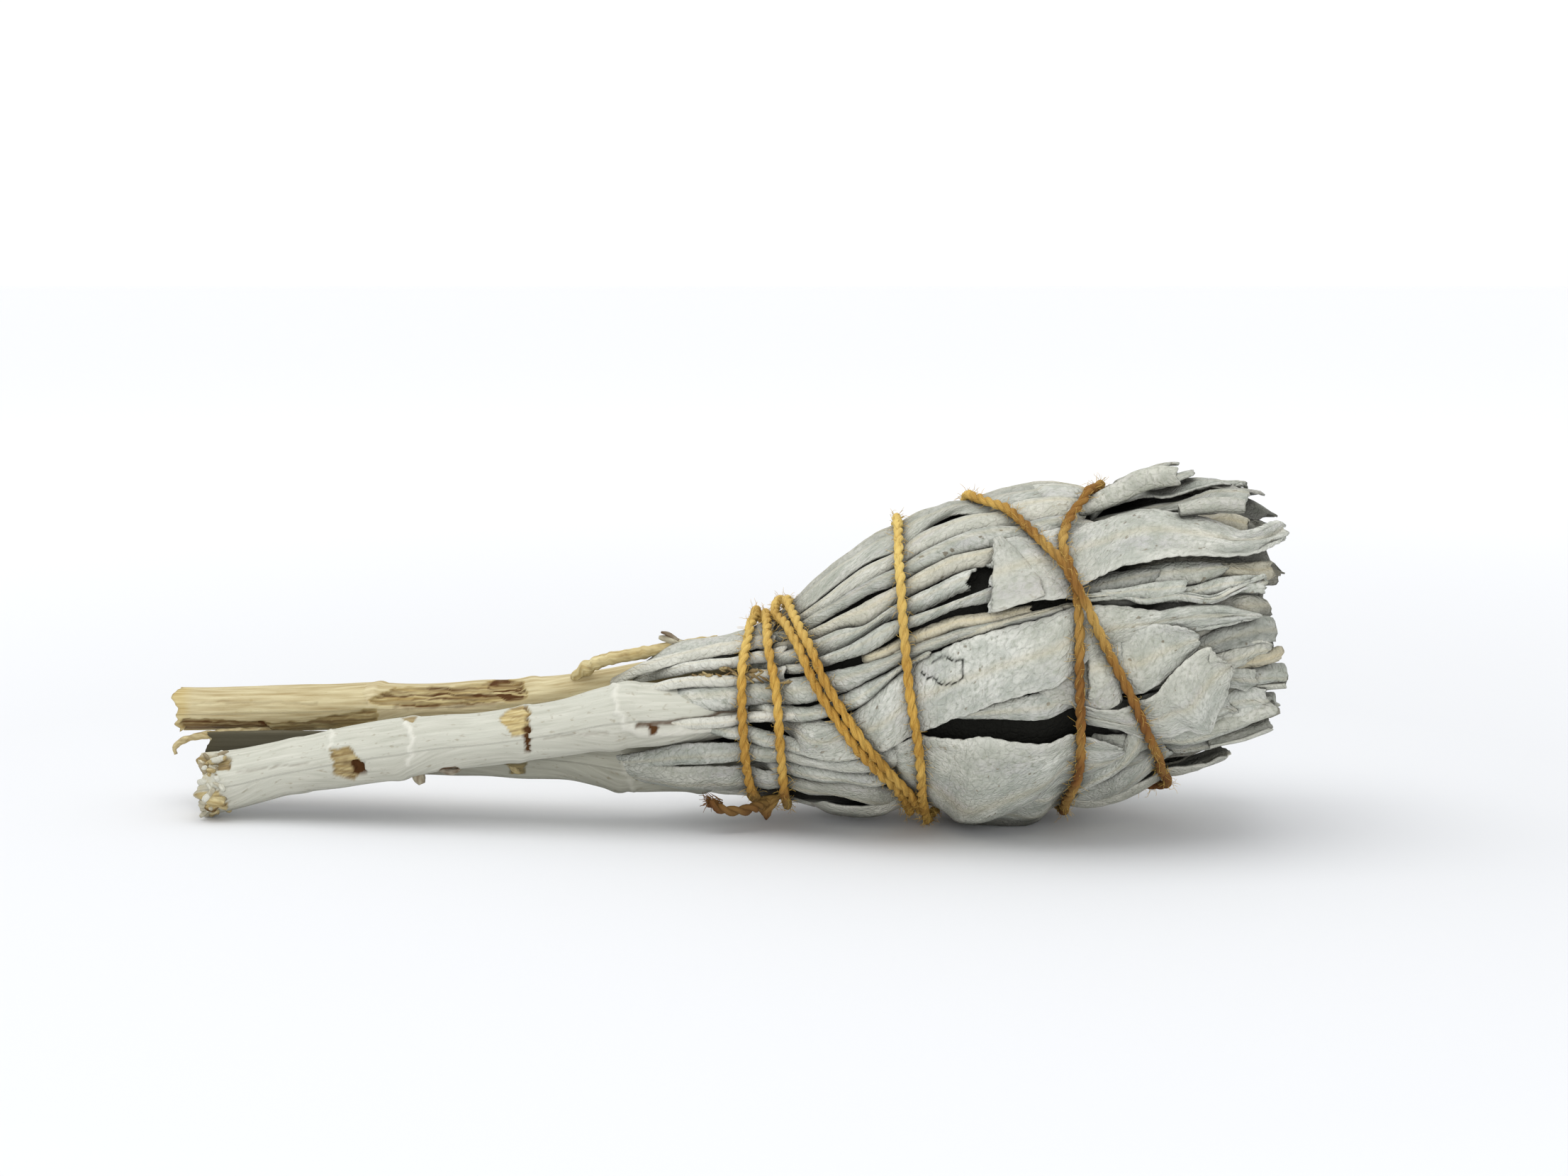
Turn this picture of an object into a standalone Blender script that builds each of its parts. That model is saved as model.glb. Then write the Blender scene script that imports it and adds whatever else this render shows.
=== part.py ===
"""A white sage smudge stick: three leafy stems laid together and bound with one length of cotton string.

The bundle lies along X with its leaf tips at +X and its cut stems at -X, and it rests on the plane z = 0.
Each leafy stem is one solid: the stem, a core of folded leaves, and the leaves that stand out of it.
Lengths below are in millimetres and angles in degrees. Places on the front are given as they look from the
front, from a little above, and are carried back onto the bundle's surface along the line of sight.
"""

import math
import random

import bmesh
import bpy
from mathutils import Vector
from mathutils.bvhtree import BVHTree

MM = 0.001
CLEARANCE = 0.3
LEAF_THICKNESS = 0.7
# How much of a leaf's thickness may reach past its middle surface at a seam.
SEAM_MARGIN = 0.2

# The set-down offset brings the middle of the whole part's box to x = 0 and y = 0.
SET_DOWN = (0.1, 0.2)

# Line of sight of the front outlines: distance and height angle of the eye, and the point looked at.
SIGHT_DISTANCE = 450.0
SIGHT_ANGLE = math.radians(7.0)
SIGHT_X = 9.8
SIGHT_Z = 41.7

# Cross-section of the bundle along x: bottom and top, half depth, and the sideways place of its middle.
BOTTOM_LINE = [(-26, 7), (-10, 5), (3, 4.2), (12, 2.6), (22, 1.9), (27, 2.4), (30, 3.8), (38, 3.8), (41, 1.4),
               (44, -0.3), (52, -0.3), (55, 1.4), (57.5, 3.8), (61.5, 3.9), (68, 4.6), (76, 8), (87, 12), (98, 17)]
TOP_LINE = [(-26, 27.5), (-10, 31.5), (0, 33.5), (3, 34.8), (10, 37.6), (20, 45.8), (31, 53), (45, 57.6),
            (57, 59.4), (66, 58.3), (76, 60), (87, 60), (98, 57)]
HALF_DEPTH_LINE = [(-26, 12), (-10, 13.5), (3, 16), (10, 18), (20, 22.5), (31, 26.5), (45, 30), (57, 31),
                   (66, 30), (76, 29), (87, 27), (98, 24)]
# How far below the leaves the core stays, along x.
CORE_DEPTH_LINE = [(1, 8), (5, 5.4), (10, 3.7), (20, 2.8), (45, 3.2), (60, 5), (70, 9), (76, 15)]

# The two seams on the front where the leaves of neighbouring stems meet, and the straight seam behind.
UPPER_SEAM = [(-10, 24.5), (0, 26.3), (10, 27.2), (16, 28.3), (24, 31), (31, 33), (37, 34.6), (46, 36.9),
              (60, 39.2), (70, 39.6), (78, 39.3), (88, 39.6), (97, 39)]
LOWER_SEAM = [(-5, 14), (3, 13.6), (10, 13.2), (17, 10.6), (22, 10.6), (26, 11.2), (30, 13), (35, 15.5),
              (42, 16.7), (50, 16.3), (57, 16), (63, 16.8), (70, 16.6), (78, 14.6), (86, 16.1), (92, 21), (99, 24)]
REAR_SEAM = 175.0

# Stems: x, sideways place, height and radius along each.
STEM_SIDES = 12
FRONT_STEM = [(-92, 3, 5.8, 5.8), (-86, 2.2, 7.4, 5.4), (-80, 1.2, 9.1, 5.0), (-75, 0.5, 10.2, 5.1),
              (-68, -0.8, 11.8, 5.5), (-60, -2, 13.2, 5.6), (-52, -3.4, 14.6, 5.0), (-45, -4.5, 15.4, 4.8),
              (-37, -5.6, 16.6, 5.0), (-30, -6.5, 17.9, 5.1), (-20, -8, 20.1, 5.6), (-10, -8.6, 20.6, 5.3),
              (-3, -8.9, 20.8, 4.6), (3, -9.1, 21.3, 3.4), (10, -9.5, 21.8, 3)]
BACK_STEM = [(-98.5, 17, 17.1, 3.6), (-88, 16, 17.6, 3.8), (-75, 14.5, 18.2, 3.9), (-65, 13.2, 18.8, 3.9),
             (-55, 11.6, 19.2, 3.6), (-45, 10, 19.9, 3.8), (-35, 8, 20.8, 3.8), (-25, 6.2, 22.4, 3.7),
             (-15, 4.8, 24.4, 3.7), (-5, 3.5, 26, 3.6), (3, 3, 27, 3.2), (10, 3, 28, 3)]
LOW_STEM = [(-93.5, 12, 10.3, 3.8), (-84, 10.8, 10.6, 3.9), (-75, 10, 10.8, 3.9), (-60, 8, 10.9, 4),
            (-50, 6, 11.1, 4.2), (-40, 4.2, 11.2, 4.4), (-30, 2.5, 11.2, 4.4), (-19, 0.2, 10.1, 4.9),
            (-12, -0.6, 10, 4.6), (-5, -1, 10, 4.8), (3, -0.6, 10, 4.2), (10, 0, 10.4, 3.6)]

# The leaves that show on the front: name, layer height, crown, then upper and lower edge as seen.
BACK_LEAVES = [
    ("crest", 0.0, 0.9, [(6, 38), (15, 43.4), (25, 50), (40, 57.4), (52, 60.5), (64, 60)],
     [(6, 35.6), (15, 38.8), (24, 45.6), (33, 51), (44, 55.4), (60, 57.2)]),
    ("upper_rib", -0.7, 1.3, [(4, 35.8), (12, 37.6), (20, 42.4), (29, 48.8), (38, 53.8), (50, 56.4), (62, 57.5)],
     [(4, 33.4), (12, 35.2), (21, 40.8), (30, 46.6), (42, 51.6), (60, 53.8)]),
    ("second_rib", -0.3, 1.3, [(-12, 31.4), (2, 33), (12, 35), (21, 40.6), (30, 46.4), (42, 51.4), (60, 53.6)],
     [(-12, 29.4), (2, 31), (14, 33.8), (24, 41.2), (32, 44.6), (46, 49.8), (60, 52)]),
    ("third_rib", -0.7, 1.3, [(2, 31), (14, 33.6), (24, 39.8), (31, 43.7), (41, 47.6), (47, 49)],
     [(2, 29), (14, 31), (23, 35), (31, 40.2), (40, 44.8), (47, 47.4)]),
    ("fourth_rib", -0.5, 1.2, [(1, 28.9), (14, 30.8), (23, 34.8), (31, 39.8), (39, 44.2), (45, 46.4)],
     [(1, 27.4), (14, 28.8), (24, 32.6), (31, 37), (39, 40.6), (44, 43.4)]),
    ("fold", 0.2, 1.2, [(8, 28.2), (16, 28.6), (24, 32.4), (32, 36.8), (40, 39.4), (48.5, 42.4)],
     [(8, 26.8), (16, 27.4), (24, 30.6), (31, 34.2), (38, 37), (48, 40.4)]),
    ("long_flap", 0.3, 0.8,
     [(30, 43), (38, 46), (46, 49), (54, 50.9), (64, 53), (74, 55.3), (83, 54), (92, 52), (98.8, 52.8)],
     [(34, 38.5), (40, 38.6), (46.5, 36.8), (54, 38.8), (63, 41.4), (72, 44.8), (82, 46.4), (92, 47), (99.5, 48.8)]),
    ("under_flap", -2.2, 0.5, [(52, 44), (64, 45), (76, 46.4), (86, 46.4), (96, 46.4)],
     [(52, 39.5), (64, 40.6), (76, 42.6), (86, 43.4), (96, 44.2)]),
    ("thin_edge", -0.6, 0.4, [(54, 42), (64, 42), (74, 42.2), (86, 43.2), (95.5, 43.4)],
     [(54, 39.6), (64, 39.8), (74, 39.9), (86, 40), (95, 40.6)]),
    ("top_curl", 0.6, 1.2, [(52, 61), (64, 61), (72, 63), (79.5, 64)], [(52, 57), (62, 57), (70, 57.8), (75, 57.4)]),
    ("top_fork", -2.0, 1.0, [(58, 60), (70, 60.5), (82, 61.6), (92, 61.2)],
     [(58, 55.6), (70, 55.6), (82, 56.8), (91.5, 57.2)]),
]
FRONT_LEAVES = [
    ("throat", 0.0, 1.0, [(-20, 24.2), (-10, 24.2), (0, 25.2), (14, 25.4), (24, 28.2), (32, 30.8), (45, 35.6),
                          (60, 38.8)],
     [(-20, 18.5), (-8, 20.8), (4, 21), (14, 20.6), (24, 24.6), (31, 28.4), (45, 33.4), (60, 37.8)]),
    ("side_rib", -0.5, 1.2, [(2, 22), (14, 21.2), (22, 24), (30, 28), (34, 30)],
     [(2, 19), (12, 17.6), (20, 18.8), (28, 24.2), (33, 27.6)]),
    ("broad", 0.3, 0.8,
     [(2, 18.6), (12, 17), (20, 18.2), (28, 24.2), (34, 29), (44, 32.9), (54, 35.8), (64, 38.9), (74, 38.4),
      (84, 38.8), (95, 37)],
     [(2, 15), (12, 13.4), (20, 11.2), (27, 12), (35, 15.8), (44, 19.3), (54, 22.7), (62, 25.8), (72, 31),
      (84, 34), (94, 35)]),
    ("strip", -1.6, 0.5, [(24, 16), (34, 17.6), (46, 20.6), (58, 23), (70, 24.6)],
     [(24, 14), (34, 16.2), (44, 18), (56, 17.7), (70, 20.6)]),
    ("between", 0.7, 0.6, [(50, 29), (58, 31), (65, 33), (70, 34.2)], [(50, 22), (58, 19.8), (65, 20.2), (70.8, 22)]),
    ("square", -0.9, 0.7, [(54, 32), (64, 33), (74, 35), (83, 34.6)], [(54, 22), (64, 20.6), (74, 22.6), (84, 30.6)]),
    ("torn", 0.6, 0.7, [(56, 22), (66, 21), (74, 22.2), (80, 27.8), (86, 31.4), (90, 27.6)],
     [(56, 18.4), (66, 17.4), (74, 16.4), (80, 15.8), (85, 16.8), (89.5, 22)]),
    ("end_tip", -2.4, 0.5, [(62, 33), (74, 34), (86, 35.6), (97.5, 36.6)],
     [(62, 28), (74, 28.6), (86, 30), (97.5, 31.6)]),
    ("tube_tip", -2.4, 0.9, [(62, 28), (76, 27.8), (88, 27.6), (100.2, 27)],
     [(62, 22), (76, 22.6), (88, 23.4), (100.5, 23.6)]),
]
# Where the leaves under the bundle bend into and out of the grooves that the string presses in.
GROOVE_STATIONS = [4, 14, 24, 29.5, 38.5, 42.5, 53, 57, 62, 72, 82]
# How far the edges, face and tip of a leaf are waved, how much of its length draws into its stem, and how wide
# it still is there.
EDGE_WAVE = 0.35
FACE_WAVE = 0.3
TIP_WAVE = 0.9
FOOT_SHARE = 0.22
FOOT_WIDTH = 0.3
# How much higher than the floor each further layer of leaves stays under the bundle.
LAYER_HEIGHT = 1.1
# The leaf at this angle is pressed flat where the bundle rests on it.
RESTING_ANGLE = -90
# How far each leaf's edges are drawn in, which leaves a dark line between neighbours.
EDGE_INSET = 0.5
# Leaves with a crown this high are narrow ribs, which need fewer points across.
NARROW_CROWN = 1.0
LOW_LEAVES = [
    ("pale_strip", -0.4, 1.0, [(2, 13), (12, 12.4), (20, 10.6), (28, 11.8), (36, 14.6)],
     [(2, 10.6), (12, 9.8), (20, 8), (28, 7.7), (36, 9)]),
    ("grey_strip", -0.9, 0.9, [(2, 10.2), (12, 9.4), (20, 7.6), (28, 7.2), (38, 8)],
     [(2, 7), (12, 6), (20, 5.5), (28, 4.6), (38, 4)]),
    ("dark_strip", -0.8, 0.8, [(4, 6), (14, 5), (24, 4.4), (34, 4.2)], [(4, 3.6), (14, 1.9), (24, 1.2), (34, 0.6)]),
    ("belly", 0.5, 0.9, [(24, 12), (34, 15.2), (45, 15.4), (56, 14.6), (64, 15.6), (70.8, 14.4)],
     [(24, 6), (32, 4.4), (40, 1.2), (46, 0.6), (54, 3.6), (62, 7.2), (70.8, 13)]),
    ("rising", -0.8, 0.8, [(48, 10), (58, 8), (66, 10.6), (71, 14), (73, 19)],
     [(48, 4), (58, 2), (66, 3.6), (73, 8.2), (77, 14)]),
    ("low_tip", -1.2, 0.9, [(58, 14.4), (70, 14.2), (80, 15.2), (88, 20), (97, 23)],
     [(58, 9), (70, 9.4), (80, 11), (88, 12.2), (98, 17.6)]),
]

# The wedges that part neighbouring stems' leaves: from the neck to past the tips.
CUTTER_START = 0.8
CUTTER_END = 106.0
CUTTER_STATIONS = 22
CUTTER_RADIUS = 70.0
CUTTER_ARC = 9

# Colours, as red, green and blue in linear light.
LEAF_COLOUR = (0.62, 0.63, 0.56, 1)
STRING_COLOUR = (0.62, 0.42, 0.12, 1)

# String: thickness, number of sides of the tube, and its runs down the front as seen, in the order of winding.
STRING_RADIUS = 0.9
STRING_SIDES = 6
STRING_STEP = 6.0
NECK_X = 6.5
KNOT_TURN = -14.0
KNOT_DROP = 1.2
# The knot's shape along x and the tail's way from it.
KNOT_SHAPE = [(-2.6, 0.5), (-1.8, 1.5), (0, 1.95), (1.8, 1.5), (2.6, 0.5)]
KNOT_SIDES = 8
TAIL_STEPS = [(0, 0, 0, 0.9), (-3.5, -0.6, -0.9, 0.8), (-7, -1, -0.8, 0.8), (-10.5, -1.2, 0.6, 0.6)]
# How far above the floor the string stays, and how much farther out it lies where it crosses itself.
STRING_LOWEST = 0.95
CROSSING_RISE = 2.2
STRING_RUNS = [
    [(6.6, 35), (7, 30), (8, 25), (8.7, 20), (9, 15), (9.4, 10), (9.8, 5)],
    [(10.6, 36.6), (12.7, 34), (14.9, 30), (17.3, 25), (20.5, 20), (25.1, 14), (29.5, 9), (33.4, 5)],
    [(30.2, 49), (30.3, 45), (30.7, 40), (31, 35), (31.5, 30), (32, 25), (32.8, 20), (33.8, 15), (34.4, 10),
     (34.8, 5)],
    [(63.5, 55), (60.6, 52), (59.4, 48), (60, 45), (61.5, 41), (62.3, 36), (62.5, 28), (62.8, 22), (63, 17),
     (62.6, 10), (60.8, 4)],
    [(45, 56), (50, 54.4), (52.5, 52), (55, 48.8), (57.5, 45.5), (60, 42), (64.5, 35), (67.5, 30), (70, 26),
     (73, 21), (76, 15), (77.6, 11)],
    [(8.3, 36.6), (10.2, 34), (12.4, 30), (14.8, 25), (18, 20), (22.6, 14), (27, 9), (31, 5)],
    [(4.3, 34), (3.2, 31), (2.4, 27), (2.2, 22), (2.4, 17), (2.8, 12), (3.6, 7)],
]
# Where each turn of the string crosses the top of the bundle, and then its underside.
STRING_TOPS = [6.6, 10.4, 30.0, 66.0, 43.0, 8.2, 4.4]
STRING_BOTTOMS = [10.4, 34.2, 36.8, 59.3, 75.5, 31.6]
# How many degrees behind the top the string stays near its crossing, and how far it has moved on by then.
TOP_REACH = 40.0
TOP_SHARE = 0.06


def curve_through(points):
    """A smooth function of the first value of these points, level past both ends."""
    places = [p[0] for p in points]
    values = [p[1] for p in points]
    slopes = []
    for i in range(len(points)):
        before = max(i - 1, 0)
        after = min(i + 1, len(points) - 1)
        slopes.append((values[after] - values[before]) / (places[after] - places[before]))

    def value_at(x):
        if x <= places[0]:
            return values[0]
        if x >= places[-1]:
            return values[-1]
        i = 0
        while places[i + 1] < x:
            i += 1
        width = places[i + 1] - places[i]
        t = (x - places[i]) / width
        a = (1 + 2 * t) * (1 - t) ** 2 * values[i] + t * t * (3 - 2 * t) * values[i + 1]
        b = t * (1 - t) ** 2 * slopes[i] - t * t * (1 - t) * slopes[i + 1]
        return a + b * width

    return value_at


def point_along(points, part):
    """The point a part of the way, from 0 to 1, along the smooth path through these points."""
    lengths = [0.0]
    for a, b in zip(points, points[1:]):
        lengths.append(lengths[-1] + math.dist(a, b))
    goal = part * lengths[-1]
    i = 0
    while i < len(points) - 2 and lengths[i + 1] < goal:
        i += 1
    t = (goal - lengths[i]) / (lengths[i + 1] - lengths[i])
    p0 = points[max(i - 1, 0)]
    p1 = points[i]
    p2 = points[i + 1]
    p3 = points[min(i + 2, len(points) - 1)]
    result = []
    for a, b, c, d in zip(p0, p1, p2, p3):
        result.append(b + 0.5 * t * (c - a + t * (2 * a - 5 * b + 4 * c - d + t * (3 * (b - c) + d - a))))
    return result


bottom_at = curve_through(BOTTOM_LINE)
top_at = curve_through(TOP_LINE)
half_depth_at = curve_through(HALF_DEPTH_LINE)
core_depth_at = curve_through(CORE_DEPTH_LINE)


def middle_height(x):
    return 0.5 * (top_at(x) + bottom_at(x))


def half_height(x):
    return 0.5 * (top_at(x) - bottom_at(x))


def smooth(t):
    t = min(max(t, 0.0), 1.0)
    return t * t * (3 - 2 * t)


def on_bundle(x, angle, level, lowest=0.0):
    """A point at this x and angle (0 faces the front, 90 is up), a level above the bundle's outline."""
    turn = math.radians(angle)
    y = -(half_depth_at(x) + level) * math.cos(turn)
    z = middle_height(x) + (half_height(x) + level) * math.sin(turn)
    return Vector((x, y, max(z, lowest)))


def sight_to_bundle(seen):
    """The x and angle on the bundle's front of a place as it looks from the front."""
    seen_x, seen_z = seen
    y = -half_depth_at(seen_x) * 0.7
    angle = 0.0
    x = seen_x
    for _ in range(14):
        scale = 1 + y * math.cos(SIGHT_ANGLE) / SIGHT_DISTANCE
        x = SIGHT_X + (seen_x - SIGHT_X) * scale
        height = SIGHT_Z + (seen_z - SIGHT_Z) * scale
        z = (height - y * math.sin(SIGHT_ANGLE)) / math.cos(SIGHT_ANGLE)
        sine = min(max((z - middle_height(x)) / half_height(x), -1.0), 1.0)
        angle = math.degrees(math.asin(sine))
        y = 0.5 * (y - half_depth_at(x) * math.cos(math.radians(angle)))
    return x, angle


upper_seam_at = curve_through([sight_to_bundle(p) for p in UPPER_SEAM])
lower_seam_at = curve_through([sight_to_bundle(p) for p in LOWER_SEAM])


def sector(name, x):
    """The two angles between which the leaves of this stem lie."""
    if name == "front":
        return lower_seam_at(x), upper_seam_at(x)
    if name == "back":
        return upper_seam_at(x), REAR_SEAM
    return REAR_SEAM - 360, lower_seam_at(x)


def in_sector(name, x, angle, radius):
    """The angle, held inside the stem's own sector with half the clearance and half a leaf's thickness."""
    low, high = sector(name, x)
    margin = math.degrees((CLEARANCE * 0.5 + SEAM_MARGIN) / max(radius, 4))
    return min(max(angle, low + margin), high - margin)


def stem_point(stem, x):
    """The middle of the stem at this x, and past its end the line on which its leaves are rooted."""
    y = curve_through([(p[0], p[1]) for p in stem])(x)
    z = curve_through([(p[0], p[2]) for p in stem])(x)
    return Vector((x, y, z))


def root_point(name, stem, x):
    """Where a leaf that leaves the bundle's middle at this x is rooted."""
    low, high = sector(name, x)
    inner = on_bundle(x, 0.5 * (low + high), -0.5 * half_height(x))
    share = smooth((x - 2) / 12)
    return stem_point(stem, x).lerp(inner, share)


def sheet_solid(grid, thickness, flat_height):
    """A closed thin solid on both sides of a grid of points, split into triangles alike on both faces.

    Points at the flat height are pressed on a level surface, so their thickness is upright.
    """
    rows = len(grid)
    columns = len(grid[0])
    normals = []
    for i in range(rows):
        row = []
        for j in range(columns):
            along = grid[min(i + 1, rows - 1)][j] - grid[max(i - 1, 0)][j]
            across = grid[i][min(j + 1, columns - 1)] - grid[i][max(j - 1, 0)]
            normal = along.cross(across).normalized()
            if abs(grid[i][j].z - flat_height) < 1e-6:
                normal = Vector((0, 0, math.copysign(1, normal.z)))
            row.append(normal)
        normals.append(row)
    points = []
    for side in (1, -1):
        for i in range(rows):
            for j in range(columns):
                points.append(grid[i][j] + normals[i][j] * (side * thickness * 0.5))
    faces = []
    other = rows * columns
    for i in range(rows - 1):
        for j in range(columns - 1):
            a = i * columns + j
            b = a + 1
            c = a + columns
            d = c + 1
            if (i + j) % 2:
                halves = ((a, c, b), (b, c, d))
            else:
                halves = ((a, c, d), (a, d, b))
            for p, q, r in halves:
                faces.append((p, q, r))
                faces.append((other + r, other + q, other + p))
    rim = [j for j in range(columns)]
    rim += [i * columns + columns - 1 for i in range(1, rows)]
    rim += [(rows - 1) * columns + j for j in range(columns - 2, -1, -1)]
    rim += [i * columns for i in range(rows - 2, 0, -1)]
    for a, b in zip(rim, rim[1:] + rim[:1]):
        faces.append((a, b, other + b))
        faces.append((a, other + b, other + a))
    return points, faces


def leaf_solid(name, stem, upper, lower, level, crown, seed, rows=10, across=4, layer=0, places=None):
    """A leaf between two edges of x and angle, waved along its edges, with its foot drawn into its stem."""
    draw = random.Random(seed)
    phase = draw.uniform(0, 6)
    lowest = LEAF_THICKNESS * 0.5 + LAYER_HEIGHT * layer
    grid = []
    if places is None:
        places = [i / (rows - 1) for i in range(rows)]
    rows = len(places)
    for i, u in enumerate(places):
        top_x, top_angle = point_along(upper, u)
        low_x, low_angle = point_along(lower, u)
        radius = half_height(0.5 * (top_x + low_x)) + level
        share = smooth(u / FOOT_SHARE)
        edge = EDGE_WAVE * (1 if i % 2 else -1) * share - EDGE_INSET
        top_angle = in_sector(name, top_x, top_angle + math.degrees(edge / max(radius, 6)), radius)
        low_angle = in_sector(name, low_x, low_angle - math.degrees(edge / max(radius, 6)), radius)
        foot = root_point(name, stem, 0.5 * (top_x + low_x))
        row = []
        for j in range(across):
            v = 2 * j / (across - 1) - 1
            x = low_x + (top_x - low_x) * (v + 1) / 2
            angle = low_angle + (top_angle - low_angle) * (v + 1) / 2
            height = level + crown * (0.5 - v * v)
            height += FACE_WAVE * math.sin(phase + 9 * u + 2 * v) * share
            if i == rows - 1:
                x += TIP_WAVE * math.sin(phase + 2.6 * j)
            row.append(on_bundle(x, angle, height, lowest))
        middle = 0.5 * (row[0] + row[-1])
        row = [(foot + FOOT_WIDTH * (p - middle)).lerp(p, share) for p in row]
        grid.append(row)
    return sheet_solid(grid, LEAF_THICKNESS, lowest)


def front_leaf(name, stem, spec, seed):
    """One of the leaves that show on the front."""
    label, level, crown, upper, lower = spec
    upper = [sight_to_bundle(p) for p in upper]
    lower = [sight_to_bundle(p) for p in lower]
    across = 3 if crown >= NARROW_CROWN else 4
    return leaf_solid(name, stem, upper, lower, level, crown, seed, across=across)


def wrapped_leaf(name, stem, angle, width, level, start, end, seed, rows=9, across=3, layer=0, stations=None):
    """A leaf laid along the bundle at this angle, as wide as given at the belly."""
    draw = random.Random(seed)
    drift = draw.uniform(-5, 5)
    upper = []
    lower = []
    for k in range(6):
        t = k / 5
        x = start + (end - start) * t
        size = max(half_height(x) + level, 5)
        half = 0.5 * width * (0.45 + 0.55 * smooth(t / 0.45)) * (1 - 0.35 * smooth((t - 0.75) / 0.25))
        spread = math.degrees(half / size)
        middle = angle + drift * (t - 0.5)
        upper.append((x + draw.uniform(-1, 1), middle + spread))
        lower.append((x + draw.uniform(-1, 1), middle - spread))
    places = None
    if stations:
        places = [0.0] + [(x - start) / (end - start) for x in stations] + [1.0]
    return leaf_solid(name, stem, upper, lower, level, 0.9, seed, rows, across, layer, places)


def core_solid(name, start=1.0, end=76.0, stations=14, arc_points=7):
    """The folded leaves inside the bundle: a wedge of its sector, drawn in at both ends."""
    rings = []
    for i in range(stations):
        x = start + (end - start) * i / (stations - 1)
        low, high = sector(name, x)
        radius = half_height(x) - core_depth_at(x)
        wedge = math.radians(0.5 * (high - low))
        tip = CLEARANCE * 0.75 / math.sin(min(wedge, math.pi / 2))
        middle = 0.5 * (low + high)
        turn = math.radians(middle)
        ring = [Vector((x, -tip * math.cos(turn), middle_height(x) + tip * math.sin(turn)))]
        margin = math.degrees(CLEARANCE * 0.75 / radius)
        for k in range(arc_points):
            angle = low + margin + (high - low - 2 * margin) * k / (arc_points - 1)
            ring.append(on_bundle(x, angle, -core_depth_at(x)))
        rings.append(ring)
    return wedge_solid(rings)


def wedge_solid(rings):
    """A closed solid through rings of points, each a tip followed by an arc."""
    count = len(rings[0])
    points = [p for ring in rings for p in ring]
    faces = []
    for i in range(len(rings) - 1):
        for k in range(count):
            a = i * count + k
            b = i * count + (k + 1) % count
            if k == count - 1:
                faces.append((a, b, a + count))
                faces.append((b, b + count, a + count))
            else:
                faces.append((a, b, b + count))
                faces.append((a, b + count, a + count))
    last = (len(rings) - 1) * count
    for k in range(1, count - 1):
        faces.append((0, k + 1, k))
        faces.append((last, last + k, last + k + 1))
    return points, faces


def sector_cutter(name):
    """Everything round the bundle outside this stem's own sector, less half the clearance."""
    rings = []
    for i in range(CUTTER_STATIONS):
        x = CUTTER_START + (CUTTER_END - CUTTER_START) * i / (CUTTER_STATIONS - 1)
        low, high = sector(name, x)
        sweep = 360 - (high - low)
        middle = math.radians(0.5 * (low + high))
        tip = CLEARANCE * 0.5 / math.sin(min(math.radians(0.5 * (high - low)), math.pi / 2))
        centre = Vector((x, 0, middle_height(x)))
        ring = [centre + Vector((0, -tip * math.cos(middle), tip * math.sin(middle)))]
        margin = math.degrees(CLEARANCE * 0.5 / CUTTER_RADIUS)
        for k in range(CUTTER_ARC):
            turn = math.radians(high - margin + (sweep + 2 * margin) * k / (CUTTER_ARC - 1))
            depth = CUTTER_RADIUS * half_depth_at(x) / half_height(x)
            ring.append(centre + Vector((0, -depth * math.cos(turn), CUTTER_RADIUS * math.sin(turn))))
        rings.append(ring)
    return wedge_solid(rings)


def stem_solid(stem, seed):
    """A stem: a tube with a slightly uneven skin and a ragged cut end."""
    draw = random.Random(seed)
    points = []
    stations = []
    for a, b in zip(stem, stem[1:]):
        steps = 2 if b[0] - a[0] > 7 else 1
        for k in range(steps):
            t = k / steps
            stations.append([p + (q - p) * t for p, q in zip(a, b)])
    stations.append(list(stem[-1]))
    for i, (x, y, z, radius) in enumerate(stations):
        for k in range(STEM_SIDES):
            turn = 2 * math.pi * k / STEM_SIDES
            reach = radius * (1 + 0.025 * math.sin(3 * turn + i))
            reach = min(reach, z) if math.sin(turn) < -0.9 else reach
            push = draw.uniform(-1.2, 0.6) if i == 0 else 0.0
            points.append(Vector((x + push, y - reach * math.cos(turn), z + reach * math.sin(turn))))
    points.append(Vector((stations[0][0] + 1.0, stations[0][1], stations[0][2])))
    points.append(Vector((stations[-1][0], stations[-1][1], stations[-1][2])))
    faces = []
    for i in range(len(stations) - 1):
        for k in range(STEM_SIDES):
            a = i * STEM_SIDES + k
            b = i * STEM_SIDES + (k + 1) % STEM_SIDES
            faces.append((a, b, b + STEM_SIDES))
            faces.append((a, b + STEM_SIDES, a + STEM_SIDES))
    last = (len(stations) - 1) * STEM_SIDES
    for k in range(STEM_SIDES):
        after = (k + 1) % STEM_SIDES
        faces.append((len(points) - 2, after, k))
        faces.append((len(points) - 1, last + k, last + after))
    return points, faces


def tube_solid(path, radii, sides):
    """A tube along a path of points, with a radius for each, closed at both ends."""
    points = []
    side = Vector((0, 0, 1))
    for i, place in enumerate(path):
        ahead = (path[min(i + 1, len(path) - 1)] - path[max(i - 1, 0)]).normalized()
        side = (side - ahead * side.dot(ahead)).normalized()
        other = ahead.cross(side)
        for k in range(sides):
            turn = 2 * math.pi * k / sides
            points.append(place + (side * math.cos(turn) + other * math.sin(turn)) * radii[i])
    points.append(path[0].copy())
    points.append(path[-1].copy())
    faces = []
    for i in range(len(path) - 1):
        for k in range(sides):
            a = i * sides + k
            b = i * sides + (k + 1) % sides
            faces.append((a, b, b + sides))
            faces.append((a, b + sides, a + sides))
    last = (len(path) - 1) * sides
    for k in range(sides):
        after = (k + 1) % sides
        faces.append((len(points) - 2, after, k))
        faces.append((len(points) - 1, last + k, last + after))
    return points, faces


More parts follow.
